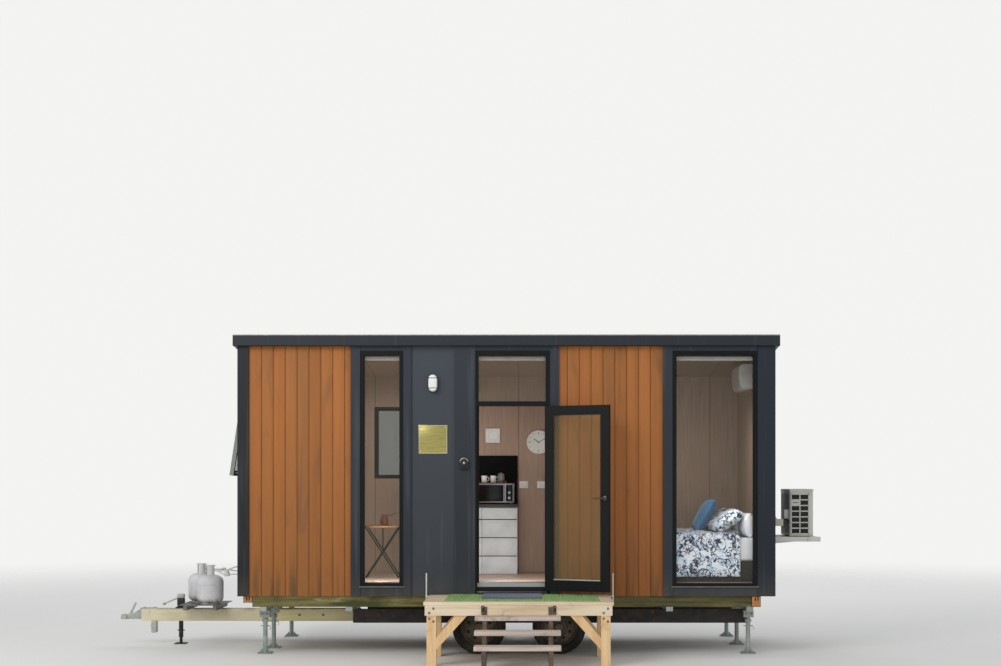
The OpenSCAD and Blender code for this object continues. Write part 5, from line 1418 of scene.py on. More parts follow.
coupling_bolts = at_corners(turned([(0.011, 0), (0.011, 0.007), (0.008, 0.009)], 6,
                                   (nose + 0.03, CABIN.y - 0.030, BEAM_TOP + 0.005)), 0.12, 0.06)
done([cup, neck, web, flange, cover, latch, coupling_bolts], "tow_coupling_casting", PALE_ZINC,
     stands_for="tow_coupling")

jockey_x, jockey_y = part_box("bottle_tray")[0].x - 0.060, CABIN.y + 0.091
jockey_top = BEAM_TOP + 0.165
bracket_x = nose + 0.150
jockey_parts = [turned([(0.026, 0.080), (0.026, jockey_top - 0.001)], 40, (jockey_x, jockey_y, 0)),
                turned([(0.018, 0), (0.018, 0.081)], 32, (jockey_x, jockey_y, 0)),
                block((jockey_x - 0.070, jockey_y - 0.070, 0),
                      (jockey_x + 0.070, jockey_y + 0.070, 0.010), 0.003),
                block((jockey_x - 0.042, jockey_y - 0.035, BEAM_TOP + 0.013),
                      (jockey_x + 0.042, jockey_y + 0.035, jockey_top - 0.052), 0.010, 3),
                block((jockey_x - 0.040, CABIN.y - BEAM_HALF, BEAM_TOP),
                      (jockey_x + 0.040, jockey_y + 0.035, BEAM_TOP + 0.014), 0.003),
                spun([(0.0255, 0), (0.036, 0.002), (0.036, 0.022), (0.0255, 0.024)], 32,
                     (jockey_x, jockey_y, 0.36)), spun([(0.0175, 0), (0.029, 0.001), (0.029, 0.012),
                                                        (0.0175, 0.013)], 32,
                                                       (jockey_x, jockey_y, 0.08)),
                tube([(jockey_x - 0.045, jockey_y, 0.16), (jockey_x + 0.045, jockey_y, 0.16)],
                     0.006, 12)]
done(jockey_parts, "jockey_frame", JOCKEY_IRON, stands_for="jockey_leg")
crank = tube([(jockey_x, jockey_y, jockey_top - 0.03),
              (jockey_x - 0.2, jockey_y, BEAM_TOP + 0.045)], 0.010, 14)
knob = set_in(turned([(0.010, -0.030), (0.016, -0.024), (0.016, 0.030), (0.010, 0.036)], 20),
              (jockey_x - 0.2, jockey_y, BEAM_TOP + 0.045))
cap = block((jockey_x - 0.042, jockey_y - 0.035, jockey_top - 0.054),
            (jockey_x + 0.042, jockey_y + 0.035, jockey_top), 0.012, 3)
post = block((bracket_x - 0.030, CABIN.y - BEAM_HALF, BEAM_FOOT - 0.140),
             (bracket_x + 0.030, CABIN.y + BEAM_HALF, BEAM_FOOT), 0.006, 3)
post_pin = tube([(bracket_x - 0.042, CABIN.y - 0.02, BEAM_FOOT - 0.058),
                 (bracket_x + 0.040, CABIN.y - 0.02, BEAM_FOOT - 0.058)], 0.008, 12)
done([crank, knob, cap, post, post_pin], "jockey_crank", PALE_ZINC)

leg_parts, wing_parts = [], []
for x, middle in ((CABIN.x - 2.72, CABIN.y - 0.4), (CABIN.x + 2.72, CABIN.y)):
    for y in (CABIN.y - 1.0, middle, CABIN.y + 1.0):
        for side in (-1, 1):
            gusset = cut_out([(x + side * 0.026, 0.010), (x + side * 0.076, 0.010),
                              (x + side * 0.028, 0.060)], 0.006, 0.001, "Y", y - 0.003)
            leg_parts.append(gusset)
        leg_parts.append(tube([(x - 0.052, y, 0.31), (x + 0.052, y, 0.31)], 0.0065, 12))
        leg_parts.append(tube([(x + 0.05, y, 0.31), (x + 0.062, y - 0.012, 0.28),
                               (x + 0.052, y - 0.03, 0.268)], 0.003, 8, True))
        bolt = turned([(0.010, 0), (0.010, 0.006), (0.007, 0.008)], 6,
                      (x - 0.062, y - 0.062, 0.010))
        wing_parts.append(at_corners(bolt, 0.124, 0.124))
        head_bolt = set_in(turned([(0.011, 0), (0.011, 0.007), (0.008, 0.009)], 6),
                           (x - 0.03, y - 0.056, RAIL_TOP - 0.037))
        wing_parts.append(copies(head_bolt, [(0.06, 0, 0)]))
done(leg_parts, "stabiliser_pins", ZINC)
done(wing_parts, "stabiliser_bolts", BOLT)

TYRE_R, RIM_R = 0.300, 0.198
LUGS, VENTS, NUTS = 44, 8, 5
spring_parts = []
for x in (CABIN.x - 0.310, CABIN.x + 0.590):
    for y in (CABIN.y - 0.760, CABIN.y + 0.760):
        for i in range(4):
            half = 0.36 - 0.07 * i
            arc = [(x + half * t, 0.318 - 0.010 * i + 0.045 * abs(t) ** 1.6 * (half / 0.36))
                   for t in (-1, -0.66, -0.33, 0, 0.33, 0.66, 1)]
            leaf = cut_out([(a, c + 0.004) for a,
                            c in arc] + [(a, c - 0.004) for a, c in reversed(arc)], 0.05, 0.001,
                           "Y", y - 0.025)
            spring_parts.append(leaf)
        for side in (-0.03, 0.03):
            spring_parts.append(tube([(x + side, y - 0.032, 0.36), (x + side, y - 0.032, 0.25),
                                      (x + side, y + 0.032, 0.25), (x + side, y + 0.032, 0.36)],
                                     0.006, 10))
done(spring_parts, "leaf_springs", AXLE_IRON)


def wheel(body, centre, out):
    """A road wheel whose outer face looks along out * Y: a tyre with grooves and shoulder lugs,
    and a pressed steel rim with round vents, a hub cap and five nuts."""
    tread = [(RIM_R + 0.0015, -0.080), (0.224, -0.094), (0.238, -0.100), (0.262, -0.101),
             (0.280, -0.097), (0.292, -0.086), (0.299, -0.072)]
    groove = 0.007
    for y in (-0.052, -0.018, 0.018, 0.052):
        tread += [(TYRE_R, y - 0.0055), (TYRE_R - groove, y - 0.004), (TYRE_R - groove, y + 0.004),
                  (TYRE_R, y + 0.0055)]
    tread += [(0.299, 0.072), (0.292, 0.086), (0.280, 0.097), (0.262, 0.101 - 0.002),
              (0.238, 0.0985), (0.224, 0.094), (RIM_R + 0.0015, 0.080)]
    tread = [(min(r, TYRE_R), max(-0.0998, min(0.0998, y))) for r, y in tread]
    tyre = spun(tread, 72, centre, "Y")
    lugs = []
    for i in range(LUGS):
        lug = block((-0.0045, -0.098, TYRE_R - 0.016), (0.0045, -0.074, TYRE_R - 0.003), 0)
        set_in(lug, centre, 2 * math.pi * i / LUGS, "Y")
        far_lug = twin_of(lug)
        far_lug.data.transform(Matrix.Translation((0, 0.172, 0)))
        lugs += [lug, far_lug]
    done([tyre, *lugs], body + "_tyre", TYRE, body, body)
    well = [(0.198, -0.083), (0.198, -0.077), (0.190, -0.070), (0.186, -0.040), (0.176, -0.030),
            (0.176, 0.030), (0.186, 0.040), (0.190, 0.070), (0.198, 0.077), (0.198, 0.083),
            (0.194, 0.083), (0.186, 0.072), (0.182, 0.040), (0.172, 0.032), (0.172, -0.032),
            (0.182, -0.040), (0.186, -0.072), (0.194, -0.083)]
    barrel = spun(well, 64, centre, "Y")
    start()
    bpy.ops.mesh.primitive_circle_add(vertices=64, radius=0.174, fill_type="NGON",
                                      location=(0, 0, 0))
    disc = bpy.context.object
    open_mesh()
    for width, rise in ((0.014, 0.006), (0.062, 0.006), (0.010, 0.014), (0.030, 0.0)):
        bpy.ops.mesh.inset(thickness=width, depth=0)
        bpy.ops.transform.translate(value=(0, 0, rise))
    bpy.ops.object.mode_set(mode="OBJECT")
    applied(disc, "SOLIDIFY", thickness=0.006)
    cutter = gathered([ringed(turned([(0.019, -0.05), (0.019, 0.05)], 24),
                              2 * math.pi * (i + 0.5) / VENTS, 0.130) for i in range(VENTS)])
    applied(disc, "BOOLEAN", operation="DIFFERENCE", object=cutter)
    take_away(cutter)
    hub_cap = turned([(0.052, -0.070), (0.052, 0.030), (0.050, 0.050), (0.042, 0.060),
                      (0.020, 0.064)], 40)
    nuts = [ringed(turned([(0.0105, 0.018), (0.0105, 0.036), (0.007, 0.040)], 6),
                   2 * math.pi * i / NUTS, 0.070) for i in range(NUTS)]
    hub = Vector(centre) + Vector((0, out * 0.040, 0))
    face = set_in(gathered([disc, hub_cap, *nuts]), hub, -out * QUARTER_TURN)
    done([barrel, face], body + "_rim", RIM_IRON, body)
    drum = set_in(turned([(0.060, -0.070), (0.150, -0.062), (0.156, -0.056), (0.156, -0.014),
                          (0.150, -0.008)], 56), hub, -out * QUARTER_TURN)
    done(drum, body + "_drum", AXLE_IRON, body)


for body in ("wheel_front_left", "wheel_front_right", "wheel_back_left", "wheel_back_right"):
    low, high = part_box(body)
    wheel(body, (low + high) / 2, -1 if "front" in body else 1)

# ---------------------------------------------------------------- landing and steps

LANDING_X = (CABIN.x - 0.855, CABIN.x + 1.141)
LANDING_Y = (CABIN.y - 2.300, CABIN.y - 1.215)
LANDING_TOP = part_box("landing_boards")[1].z
BOARD_T, BOARD_PITCH = 0.038, 0.1363

boards = [block((LANDING_X[0], LANDING_Y[0] + BOARD_PITCH * i, LANDING_TOP - BOARD_T),
                (LANDING_X[1], LANDING_Y[0] + BOARD_PITCH * i + 0.131, LANDING_TOP), 0.005, 3)
          for i in range(8)]
done(boards, "landing_deck_boards", PINE_X, stands_for="landing_boards")
screw = turned([(0.0045, 0), (0.0045, 0.0006), (0.002, 0.0009)], 12,
               (LANDING_X[0] + 0.03, LANDING_Y[0] + 0.03, LANDING_TOP - 0.0003))
deck_screws = [(x, BOARD_PITCH * i + y, 0) for x in (0, 0.484, 0.968, 1.452, 1.936)
               for i in range(8) for y in (0, 0.07)][1:]
done(copies(screw, deck_screws), "deck_screws", BOLT)

rise, going = 0.137, 0.190
treads, nosing = [], []
for i in range(3):
    top = LANDING_TOP - (i + 1) * rise
    front = LANDING_Y[0] - (i + 1) * going
    back = LANDING_Y[0] - 0.002 if i == 0 else front + going + 0.012
    middle = (front + back) / 2
    treads.append(block((CABIN.x - 0.310, front, top - 0.045),
                        (CABIN.x + 0.580, middle - 0.002, top), 0.005, 3))
    treads.append(block((CABIN.x - 0.310, middle + 0.002, top - 0.045),
                        (CABIN.x + 0.580, back, top), 0.005, 3))
    for y in (front + 0.04, middle + 0.04):
        nosing += [(x, y, top) for x in (CABIN.x - 0.2075, CABIN.x + 0.4775)]
done(treads, "step_tread_boards", TREAD_PINE, stands_for="step_treads")
screw = turned([(0.0055, -0.0004), (0.0055, 0.0006), (0.002, 0.0010)], 12, nosing[0])
done(copies(screw, [Vector(p) - Vector(nosing[0]) for p in nosing[1:]]), "tread_screws", BOLT)

fascia_y = LANDING_Y[0] + 0.005
strap_y = fascia_y - 0.006


def strap_outline(x, z, r=0.019, half=0.030):
    """Two round lobes joined by a waist."""
    points = []
    for middle, first in ((z + half, -30), (z - half, 150)):
        for i in range(11):
            angle = math.radians(first + 24 * i)
            points.append((x + r * math.cos(angle), middle + r * math.sin(angle)))
    return points


straps, heads = [], []
for x in (CABIN.x - 0.231, CABIN.x + 0.521):
    straps.append(cut_out(strap_outline(x, 0.590), 0.003, 0.0008, "Y", strap_y - 0.003))
    for z in (0.560, 0.620):
        heads.append(set_in(turned([(0.010, 0), (0.010, 0.005), (0.007, 0.0065)], 6),
                            (x, strap_y - 0.003, z)))
done(straps, "step_hanger_straps", DARK_STRAP)

post_y = LANDING_Y[0] + 0.015
for left in (LANDING_X[0] + 0.084, LANDING_X[1] - 0.084):
    for dx, z in ((-0.022, 0.560), (0.022, 0.606), (-0.022, 0.500), (0.022, 0.470)):
        face = fascia_y if z > 0.532 else post_y
        washer = turned([(0.013, 0), (0.014, 0.001), (0.013, 0.002)], 24)
        head = turned([(0.009, 0.002), (0.009, 0.007), (0.006, 0.0085)], 6)
        for part in (washer, head):
            set_in(part, (left + dx, face, z))
            heads.append(part)
done(heads, "landing_bolts", BOLT)

rods = []
for x, side in ((LANDING_X[0] - 0.034, LANDING_X[0]), (LANDING_X[1] + 0.044, LANDING_X[1])):
    rods.append(turned([(0.006, 0.565), (0.0085, 0.570), (0.0085, 0.912), (0.005, 0.918)], 16,
                       (x, LANDING_Y[1] - 0.035, 0)))
    for z in (0.58, 0.66):
        rods.append(block((min(x - 0.011, side), LANDING_Y[1] - 0.047, z - 0.006),
                          (max(x + 0.011, side), LANDING_Y[1] - 0.023, z + 0.006), 0.002))
done(rods, "landing_corner_rods", WHITE_ENAMEL)

noise.seed_set(7)
mat_low, mat_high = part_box("landing_mat")
base = block((mat_low.x, mat_low.y, mat_low.z), (mat_high.x, mat_high.y, mat_low.z + 0.005), 0.0015)
done(base, "turf_backing", TURF, stands_for="landing_mat")
PATCHES = (8, 5)
PATCH = ((mat_high.x - mat_low.x) / PATCHES[0], (mat_high.y - mat_low.y) / PATCHES[1])
BLADE_W, BLADE_H = 0.0035, 0.010
start()
bpy.ops.mesh.primitive_plane_add(size=1, location=(0, 0, 0.005), rotation=(QUARTER_TURN, 0, 0))
blade = settle()
blade.data.transform(Matrix.Scale(BLADE_W, 4, (1, 0, 0)) @ Matrix.Scale(BLADE_H, 4, (0, 0, 1)))
blade.data.transform(Matrix.Translation((0, 0, 0.005 - 0.5 * BLADE_H + 0.0049)))
blades = []
for i in range(150):
    u, v, w = (noise.random() for _ in range(3))
    twin = twin_of(blade)
    lean = Matrix.Rotation((w - 0.5) * 1.1, 4, "X") @ Matrix.Rotation((u - 0.5) * 0.5, 4, "Y")
    twin.data.transform(Matrix.Translation((mat_low.x + (0.02 + 0.96 * u) * PATCH[0],
                                            mat_low.y + (0.02 + 0.96 * v) * PATCH[1],
                                            mat_low.z + 0.0045))
                        @ Matrix.Rotation(w * math.pi * 2, 4, "Z") @ lean)
    blades.append(twin)
take_away(blade)
patch = gathered(blades)
for count, step in ((PATCHES[0], (PATCH[0], 0, 0)), (PATCHES[1], (0, PATCH[1], 0))):
    applied(patch, "ARRAY", count=count, use_relative_offset=False, use_constant_offset=True,
            constant_offset_displace=step)
done(patch, "turf_blades", TURF, smooth=0)

mat = block(at(-0.250, -1.930, mat_high.z - 0.001), at(0.390, -1.240, mat_high.z + 0.006), 0.003, 2)
done(mat, "doormat", DOORMAT)

# ---------------------------------------------------------------- room

bench_low, bench_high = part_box("kitchen_bench")
BENCH_X = (bench_low.x, bench_high.x - 0.008)
BENCH_FRONT, BENCH_BACK = bench_low.y + 0.015, bench_high.y
WORKTOP_Z = FLOOR_TOP + 0.855
CARCASS_TOP = WORKTOP_Z - 0.040
carcass = block((BENCH_X[0], BENCH_FRONT + 0.018, FLOOR_TOP + 0.06),
                (BENCH_X[1], BENCH_BACK, CARCASS_TOP), 0.001)
plinth = block((BENCH_X[0] + 0.01, BENCH_FRONT + 0.06, FLOOR_TOP),
               (BENCH_X[1] - 0.01, BENCH_BACK, FLOOR_TOP + 0.06), 0.001)
fronts = []
column = (BENCH_X[1] - BENCH_X[0]) / 3
heights = [0.18, 0.274, 0.274, 0.272]
top = CARCASS_TOP
for share in heights:
    foot = top - share * (CARCASS_TOP - FLOOR_TOP)
    for i in range(3):
        x = BENCH_X[0] + column * i
        fronts.append(block((x + 0.002, BENCH_FRONT, foot + 0.005),
                            (x + column - 0.002, BENCH_FRONT + 0.018, top - 0.005), 0.0025, 3))
    top = foot
done([carcass, plinth, *fronts], "kitchen_drawers", DRAWER,
     stands_for="kitchen_bench")
channels = []
top = CARCASS_TOP
for share in heights[:-1]:
    top -= share * (CARCASS_TOP - FLOOR_TOP)
    channels.append(block((BENCH_X[0] + 0.004, BENCH_FRONT + 0.012, top - 0.0045),
                          (BENCH_X[1] - 0.004, BENCH_FRONT + 0.0175, top + 0.0045), 0.0005))
done(channels, "drawer_channels", DARK_SLOT)
done(block((BENCH_X[0], bench_low.y, CARCASS_TOP), (bench_high.x, BENCH_BACK, WORKTOP_Z), 0.004, 3),
     "kitchen_worktop", WORKTOP)
done(block((BENCH_X[0], BENCH_BACK - 0.012, WORKTOP_Z - 0.001),
           (BENCH_X[1], BENCH_BACK, bench_high.z), 0.002), "kitchen_splashback", BLACK_LAMINATE)

oven_low, oven_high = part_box("microwave")
shell = block(oven_low + Vector((0, 0.016, 0.012)), oven_high, 0.006, 3)
face_y = oven_low.y + 0.018
surround = block((oven_low.x + 0.001, oven_low.y + 0.008, oven_low.z + 0.014),
                 (oven_high.x - 0.001, face_y, oven_high.z - 0.002), 0.004, 3)
bar_handle = tube([(oven_high.x - 0.118, oven_low.y + 0.010, oven_low.z + 0.045),
                   (oven_high.x - 0.118, oven_low.y + 0.001, oven_low.z + 0.055),
                   (oven_high.x - 0.118, oven_low.y + 0.001, oven_high.z - 0.045),
                   (oven_high.x - 0.118, oven_low.y + 0.010, oven_high.z - 0.035)], 0.0055, 12,
                  True)
feet = at_corners(turned([(0.014, 0), (0.014, 0.013)], 20,
                         (oven_low.x + 0.04, oven_low.y + 0.05, oven_low.z)), 0.418, 0.28)
done([shell, surround, bar_handle, feet], "microwave_case", SATIN_STEEL,
     stands_for="microwave")
door_pane = block((oven_low.x + 0.020, oven_low.y + 0.0065, oven_low.z + 0.032),
                  (oven_high.x - 0.130, oven_low.y + 0.012, oven_high.z - 0.020), 0.003)
panel = block((oven_high.x - 0.100, oven_low.y + 0.0065, oven_low.z + 0.032),
              (oven_high.x - 0.016, oven_low.y + 0.012, oven_high.z - 0.020), 0.003)
done([door_pane, panel], "microwave_panes", BLACK_GLASS)
knobs = []
for z in (0.075, 0.140):
    knobs.append(set_in(turned([(0.018, 0), (0.018, 0.008), (0.015, 0.011)], 32),
                        (oven_high.x - 0.058, oven_low.y + 0.0065, oven_low.z + z)))
done(knobs, "microwave_knobs", SATIN_STEEL)


def cup(centre, radius, height):
    """A mug: a turned wall with a floor, and a handle."""
    wall = spun([(radius * 0.62, 0), (radius * 0.9, 0.004), (radius, height),
                 (radius - 0.003, height), (radius * 0.86, 0.008), (radius * 0.3, 0.006),
                 (0.004, 0.006), (0.004, 0)], 32, centre)
    ear = tube([Vector(centre) + Vector((radius * 0.92, 0, height * 0.8)),
                Vector(centre) + Vector((radius * 1.5, 0, height * 0.7)),
                Vector(centre) + Vector((radius * 1.45, 0, height * 0.3)),
                Vector(centre) + Vector((radius * 0.88, 0, height * 0.22))], 0.004, 10, True)
    return gathered([wall, ear])


oven_top = oven_high.z
tray = gathered([block((oven_low.x + 0.06, oven_low.y + 0.06, oven_top),
                       (oven_low.x + 0.40, oven_low.y + 0.29, oven_top + 0.008), 0.003),
                 block((oven_low.x + 0.06, oven_low.y + 0.06, oven_top + 0.004),
                       (oven_low.x + 0.068, oven_low.y + 0.29, oven_top + 0.030), 0.002),
                 block((oven_low.x + 0.392, oven_low.y + 0.06, oven_top + 0.004),
                       (oven_low.x + 0.40, oven_low.y + 0.29, oven_top + 0.030), 0.002)])
done(tray, "oven_tray", TABLE_WOOD)
done([cup((oven_low.x + 0.13, oven_low.y + 0.14, oven_top + 0.008), 0.036, 0.085),
      cup((oven_low.x + 0.24, oven_low.y + 0.16, oven_top + 0.008), 0.036, 0.085)], "mugs",
     WHITE_PLASTIC)
caddy = turned([(0.040, 0), (0.042, 0.004), (0.042, 0.088), (0.040, 0.09), (0.041, 0.092),
                (0.041, 0.110), (0.014, 0.116), (0.010, 0.126)], 36,
               (oven_low.x + 0.335, oven_low.y + 0.16, oven_top + 0.008))
done(caddy, "tea_caddy", SATIN_STEEL)

CLOCK = at(0.370, 1.065, 2.428)
clock_face = set_in(turned([(0.150, 0), (0.150, 0.018), (0.147, 0.027), (0.139, 0.0275),
                            (0.136, 0.020)], 72), CLOCK)
done(clock_face, "clock_case", WHITE_PLASTIC, stands_for="wall_clock")
marks = []
for i in range(12):
    long = i % 3 == 0
    marks.append(set_in(block((-0.0035 if long else -0.002, -0.0012, 0.098 if long else 0.108),
                              (0.0035 if long else 0.002, 0, 0.125), 0.0004),
                        CLOCK + Vector((0, -0.0198, 0)), math.pi / 6 * i, "Y"))
for angle, length, width in ((math.radians(-55), 0.070, 0.004), (math.radians(62), 0.105, 0.003)):
    marks.append(set_in(block((-width, -0.0022, -0.015), (width, -0.0008, length), 0.0004),
                        CLOCK + Vector((0, -0.0205, 0)), angle, "Y"))
centre_cap = set_in(turned([(0.007, 0), (0.007, 0.003), (0.004, 0.005)], 24),
                    CLOCK + Vector((0, -0.0205, 0)))
done([*marks, centre_cap], "clock_marks", DARK_SLOT)

plaque_middle = at(-0.204, 1.065, 2.509)
plaque = block(plaque_middle + Vector((-0.09, -0.020, -0.09)),
               plaque_middle + Vector((0.09, 0, 0.09)), 0.003, 3)
plaque_ring = set_in(spun([(0.052, 0), (0.066, 0), (0.064, 0.006), (0.054, 0.006)], 56),
                     plaque_middle + Vector((0, -0.020, 0)))
done([plaque, plaque_ring], "wall_plaque", WHITE_PLASTIC)
switch_parts = []
for x in (0.129, 0.351):
    low, high = at(x, 1.055, 1.850), at(x + 0.110, 1.065, 1.938)
    switch_parts.append(block(low, high, 0.003, 2))
    for i in range(2):
        rocker = block((low.x + 0.016 + 0.042 * i, low.y - 0.003, low.z + 0.022),
                       (low.x + 0.050 + 0.042 * i, low.y + 0.002, high.z - 0.022), 0.002)
        switch_parts.append(turned_about(rocker, math.radians(4), "X",
                                         (low.x, low.y, (low.z + high.z) / 2)))
done(switch_parts, "switch_plates", WHITE_PLASTIC)

TABLE = at(-1.477, -0.1, FLOOR_TOP)
TABLE_H = 0.614
top_piece = turned([(0.224, 0), (0.230, 0.004), (0.230, 0.017), (0.226, 0.022), (0.2245, 0.022)],
                   72, TABLE + Vector((0, 0, TABLE_H - 0.022)))
done(top_piece, "folding_table_top", TABLE_WOOD, stands_for="folding_table")


def table_rod(first, last, radius, sides=14):
    """A rod of the table between two places measured from the foot of its middle."""
    return tube([TABLE + Vector(first), TABLE + Vector(last)], radius, sides)


legs = []
for s, reach in ((1, 0.130), (-1, 0.108)):
    for y in (-reach, reach):
        legs.append(table_rod((s * 0.190, y, 0.009), (-s * 0.190, y, TABLE_H - 0.024), 0.008))
    legs.append(table_rod((s * 0.190, -reach - 0.012, 0.009), (s * 0.190, reach + 0.012, 0.009),
                          0.009))
    legs.append(table_rod((-s * 0.190, -reach - 0.008, TABLE_H - 0.029),
                          (-s * 0.190, reach + 0.008, TABLE_H - 0.029), 0.007))
legs.append(table_rod((0, -0.134, 0.300), (0, 0.134, 0.300), 0.005, 12))
legs.append(table_rod((0, 0, 0.300), (0, 0, TABLE_H - 0.020), 0.007, 12))
done(legs, "folding_table_legs", BLACK)
pot_place = TABLE + Vector((0.02, -0.02, TABLE_H))
pot = spun([(0.030, 0), (0.046, 0.004), (0.055, 0.035), (0.050, 0.070), (0.036, 0.100),
            (0.034, 0.118), (0.040, 0.126), (0.037, 0.127), (0.031, 0.118), (0.033, 0.100),
            (0.047, 0.068), (0.051, 0.035), (0.042, 0.008), (0.004, 0.006), (0.004, 0)], 48,
           pot_place)
pot_handle = tube([pot_place + Vector((0.034, 0, 0.112)), pot_place + Vector((0.085, 0, 0.125)),
                   pot_place + Vector((0.140, 0, 0.150))], 0.005, 12, True)
done([pot, pot_handle], "copper_pot", COPPER)

unit_low, unit_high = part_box("indoor_unit")
profile = [(unit_high.x, unit_low.z + 0.018), (unit_low.x + 0.070, unit_low.z),
           (unit_low.x + 0.034, unit_low.z + 0.010), (unit_low.x + 0.012, unit_low.z + 0.044),
           (unit_low.x, unit_low.z + 0.110), (unit_low.x, unit_high.z - 0.055),
           (unit_low.x + 0.008, unit_high.z - 0.022), (unit_low.x + 0.030, unit_high.z),
           (unit_high.x, unit_high.z)]
unit_case = cut_out(profile, unit_high.y - unit_low.y - 0.02, 0.006, "Y", unit_low.y + 0.01)
caps = [cut_out([(a + (0.001 if a < unit_high.x - 0.01 else 0), b) for a, b in profile], 0.010,
                0.003, "Y", y) for y in (unit_low.y, unit_high.y - 0.010)]
flap = cut_out([(unit_low.x + 0.075, unit_low.z - 0.004 + 0.006),
                (unit_low.x + 0.026, unit_low.z + 0.006), (unit_low.x + 0.010, unit_low.z + 0.040),
                (unit_low.x + 0.006, unit_low.z + 0.040), (unit_low.x + 0.022, unit_low.z + 0.002),
                (unit_low.x + 0.075, unit_low.z + 0.0005)], unit_high.y - unit_low.y - 0.10, 0.001,
               "Y", unit_low.y + 0.05)
done([unit_case, *caps, flap], "indoor_unit_case", WHITE_PLASTIC,
     stands_for="indoor_unit")
intake = copies(block((unit_low.x + 0.045, unit_low.y + 0.04, unit_high.z - 0.002),
                      (unit_low.x + 0.052, unit_high.y - 0.04, unit_high.z + 0.0006), 0.0004),
                [(0.014 * i, 0, 0) for i in range(1, 9)])
done(intake, "indoor_unit_intake", DARK_SLOT)

# ---------------------------------------------------------------- bed

BED_X = (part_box("bed_base")[0].x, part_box("bed_base")[1].x)
BED_Y = (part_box("bed_base")[0].y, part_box("bed_base")[1].y)
BASE_TOP, MATTRESS_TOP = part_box("bed_base")[1].z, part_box("mattress")[1].z
dress(DARK_WEAVE, "bed_base")


def stuffed(piece, voxel, pressure=4.0, cap=0.026, frames=20):
    """Fills a closed padded form with a short cloth simulation and applies it."""
    applied(piece, "REMESH", mode="VOXEL", voxel_size=voxel)
    before = [vertex.co.copy() for vertex in piece.data.vertices]
    cloth = piece.modifiers.new("cloth", "CLOTH")
    cloth.settings.use_pressure = True
    cloth.settings.uniform_pressure_force = pressure
    cloth.settings.quality = 6
    cloth.settings.effector_weights.gravity = 0
    cloth.collision_settings.use_self_collision = False
    scene = bpy.context.scene
    for step in range(1, frames + 1):
        scene.frame_set(step)
    after = piece.evaluated_get(bpy.context.evaluated_depsgraph_get())
    moved = [vertex.co.copy() for vertex in after.data.vertices]
    piece.modifiers.remove(cloth)
    scene.frame_set(1)
    for vertex, old, new in zip(piece.data.vertices, before, moved):
        travel = new - old
        vertex.co = old + travel * (min(1.0, cap / travel.length) if travel.length > 1e-9 else 0)
    return piece


def softened(piece, rounds=6, factor=0.5):
    return applied(piece, "SMOOTH", factor=factor, iterations=rounds)


def wrinkled(piece, size, depth, stretch=(1, 1, 1), seed=0.0):
    """Moves each point along its normal by soft seeded noise."""
    mesh = piece.data
    normals = [vertex.normal.copy() for vertex in mesh.vertices]
    for vertex, normal in zip(mesh.vertices, normals):
        spot = Vector((vertex.co.x * stretch[0], vertex.co.y * stretch[1],
                       vertex.co.z * stretch[2])) / size
        vertex.co += normal * depth * noise.noise(spot + Vector((seed, seed, seed)))
    return piece


def pillow(name, size, move, finish, seed, rest=None):
    """A pillow: a flat bag pinched at its rim, filled, creased and set in its place; size is its
    thickness, length and height, and rest the level that its lowest point comes down to."""
    thick, long, high = size
    start()
    bpy.ops.mesh.primitive_cube_add(size=1)
    bag = bpy.context.object
    bag.scale = (thick, long, high)
    settle()
    open_mesh()
    bpy.ops.mesh.subdivide(number_cuts=11)
    bpy.ops.object.mode_set(mode="OBJECT")
    for vertex in bag.data.vertices:
        u, v = abs(vertex.co.y) / (long / 2), abs(vertex.co.z) / (high / 2)
        rim = max(0.0, 1 - u ** 3.2) ** 0.5 * max(0.0, 1 - v ** 3.2) ** 0.5
        vertex.co.x *= 0.12 + 0.88 * rim
        corner = (u * v) ** 4
        vertex.co.y *= 1 - 0.055 * (v ** 2) * (1 - corner) * (1 if u > 0.5 else u * 2)
        vertex.co.z *= 1 - 0.055 * (u ** 2) * (1 - corner) * (1 if v > 0.5 else v * 2)
    stuffed(bag, 0.008, 4.0, 0.016)
    softened(bag, 4)
    wrinkled(bag, 0.13, 0.010, (1, 1, 1), seed)
    wrinkled(bag, 0.045, 0.003, (1, 1, 1), seed + 3)
    limit = [max(abs(v.co[i]) for v in bag.data.vertices) for i in range(3)]
    room = (thick / 2, long / 2, high / 2)
    for vertex in bag.data.vertices:
        for i in range(3):
            vertex.co[i] *= min(1.0, room[i] / limit[i])
    bag.data.transform(move)
    if rest:
        bag.data.transform(Matrix.Translation((0, 0,
                                               rest - min(vertex.co.z
                                                          for vertex in bag.data.vertices))))
    done(bag, name, finish, "root", smooth=80)
    return bag


mattress = block((BED_X[0], BED_Y[0], BASE_TOP), (BED_X[1], BED_Y[1], MATTRESS_TOP), 0.045, 4)
done(mattress, "mattress_pad", WHITE_COTTON, "root", "mattress", smooth=60)
piping = []
for z in (BASE_TOP + 0.026, MATTRESS_TOP - 0.026):
    corners = [(BED_X[0] + 0.012, BED_Y[0] + 0.012), (BED_X[1] - 0.012, BED_Y[0] + 0.012),
               (BED_X[1] - 0.012, BED_Y[1] - 0.012), (BED_X[0] + 0.012, BED_Y[1] - 0.012),
               (BED_X[0] + 0.012, BED_Y[0] + 0.012)]
    piping.append(tube([(x, y, z) for x, y in corners], 0.005, 8))
done(piping, "mattress_piping", WHITE_COTTON)

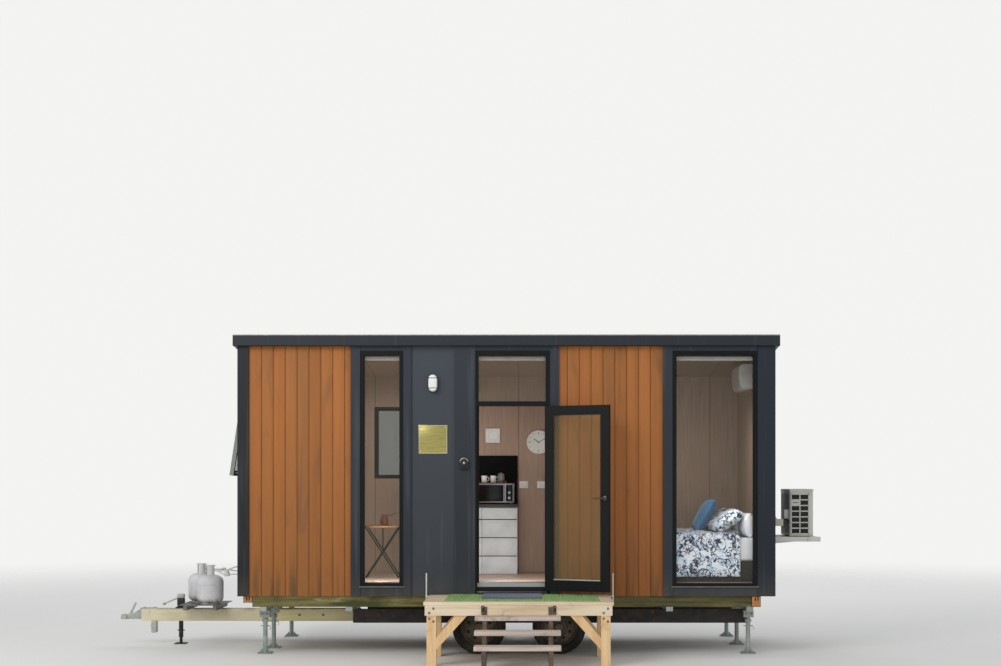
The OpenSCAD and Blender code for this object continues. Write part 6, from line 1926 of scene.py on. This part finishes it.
duvet_low, duvet_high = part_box("duvet")
DUVET_TOP, HEM = duvet_high.z, duvet_low.z
across, over, hang = duvet_high.x - duvet_low.x, duvet_high.y - duvet_low.y, DUVET_TOP - HEM
start()
STEPS_X, STEPS_Y = 96, 110
bpy.ops.mesh.primitive_grid_add(x_subdivisions=STEPS_X, y_subdivisions=STEPS_Y, size=1)
duvet = bpy.context.object
run = over + hang
for vertex in duvet.data.vertices:
    u, v = vertex.co.x + 0.5, vertex.co.y + 0.5
    x = duvet_low.x + 0.012 + (across - 0.024) * u
    length = v * run
    fold = noise.noise(Vector((x * 3.1, 0.4, 2.0))) + 0.5 * noise.noise(Vector((x * 8.5, 1.7, 5.0)))
    quilting = 0.012 * math.sin(x * 19) * math.sin(length * 17)
    puff = quilting + 0.016 * noise.noise(Vector((x * 2.3, length * 2.3, 7.0)))
    turn = 0.055
    if length < over - turn:
        y, z = duvet_high.y - 0.012 - length, DUVET_TOP - 0.030 + puff
        z -= 0.05 * max(0.0, 1 - length / 0.12) ** 2
    else:
        bend = min((length - (over - turn)) / (turn * QUARTER_TURN), 1.0) * QUARTER_TURN
        y = duvet_low.y + turn - turn * math.sin(bend)
        z = DUVET_TOP - 0.030 - turn + turn * math.cos(bend) + puff * max(0.0, math.cos(bend))
        down = max(0.0, length - (over - turn) - turn * QUARTER_TURN)
        z -= down
        swing = min(1.0, down / 0.35)
        y += 0.016 + 0.013 * fold * (0.3 + swing)
        z += 0.030 * swing * (fold * 0.6 + 0.5 * noise.noise(Vector((x * 5.0, 3.0, 1.0))))
    z -= 0.035 * max(0.0, 1 - u / 0.03) ** 2
    vertex.co = (x, y, max(z, HEM + 0.006))
applied(duvet, "SOLIDIFY", thickness=0.022, offset=0.0)
open_mesh()
close_mesh()
softened(duvet, 2)
applied(duvet, "SUBSURF", levels=1, render_levels=1)
done(duvet, "duvet_cover", PRINTED_COTTON, "root", "duvet", smooth=80)

head_x = (duvet_high.x + 0.012, BED_X[1] - 0.006)
pillow_thick = head_x[1] - head_x[0]
white_pillows = []
for name, y, seed in (("head_pillow_near", BED_Y[0] + 0.040, 1.0),
                      ("head_pillow_far", BED_Y[0] + 0.700, 5.0)):
    place = Matrix.Translation(((head_x[0] + head_x[1]) / 2, y + 0.310, MATTRESS_TOP + 0.140))
    white_pillows.append(pillow(name, (pillow_thick, 0.62, 0.28), place, WHITE_COTTON,
                                seed))


def leaning(x, y, size, degrees):
    """Where a block with its lower corner at x, y on the duvet sits when it leans back."""
    angle = math.radians(degrees)
    foot = Matrix.Translation((x, y, DUVET_TOP + size[0] * math.sin(angle)))
    return foot @ Matrix.Rotation(angle, 4,
                                  "Y") @ Matrix.Translation((size[0] / 2, size[1] / 2, size[2] / 2))


PILLOW, CUSHION = (0.180, 0.600, 0.410), (0.175, 0.450, 0.450)
SUNK = DUVET_TOP - 0.035
printed = pillow("leaning_pillow", PILLOW, leaning(head_x[0] - 0.374, BED_Y[0] + 0.040, PILLOW, 57),
                 PRINTED_COTTON, 9.0, SUNK)
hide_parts("pillows")
pillow("leaning_pillow_far", PILLOW, leaning(head_x[0] - 0.374, BED_Y[0] + 0.700, PILLOW, 57),
       PRINTED_COTTON, 17.0, SUNK)
pillow("leaning_cushion", CUSHION, leaning(head_x[0] - 0.520, BED_Y[0] + 0.688, CUSHION, 30),
       BLUE_CUSHION, 14.0, SUNK)

start()
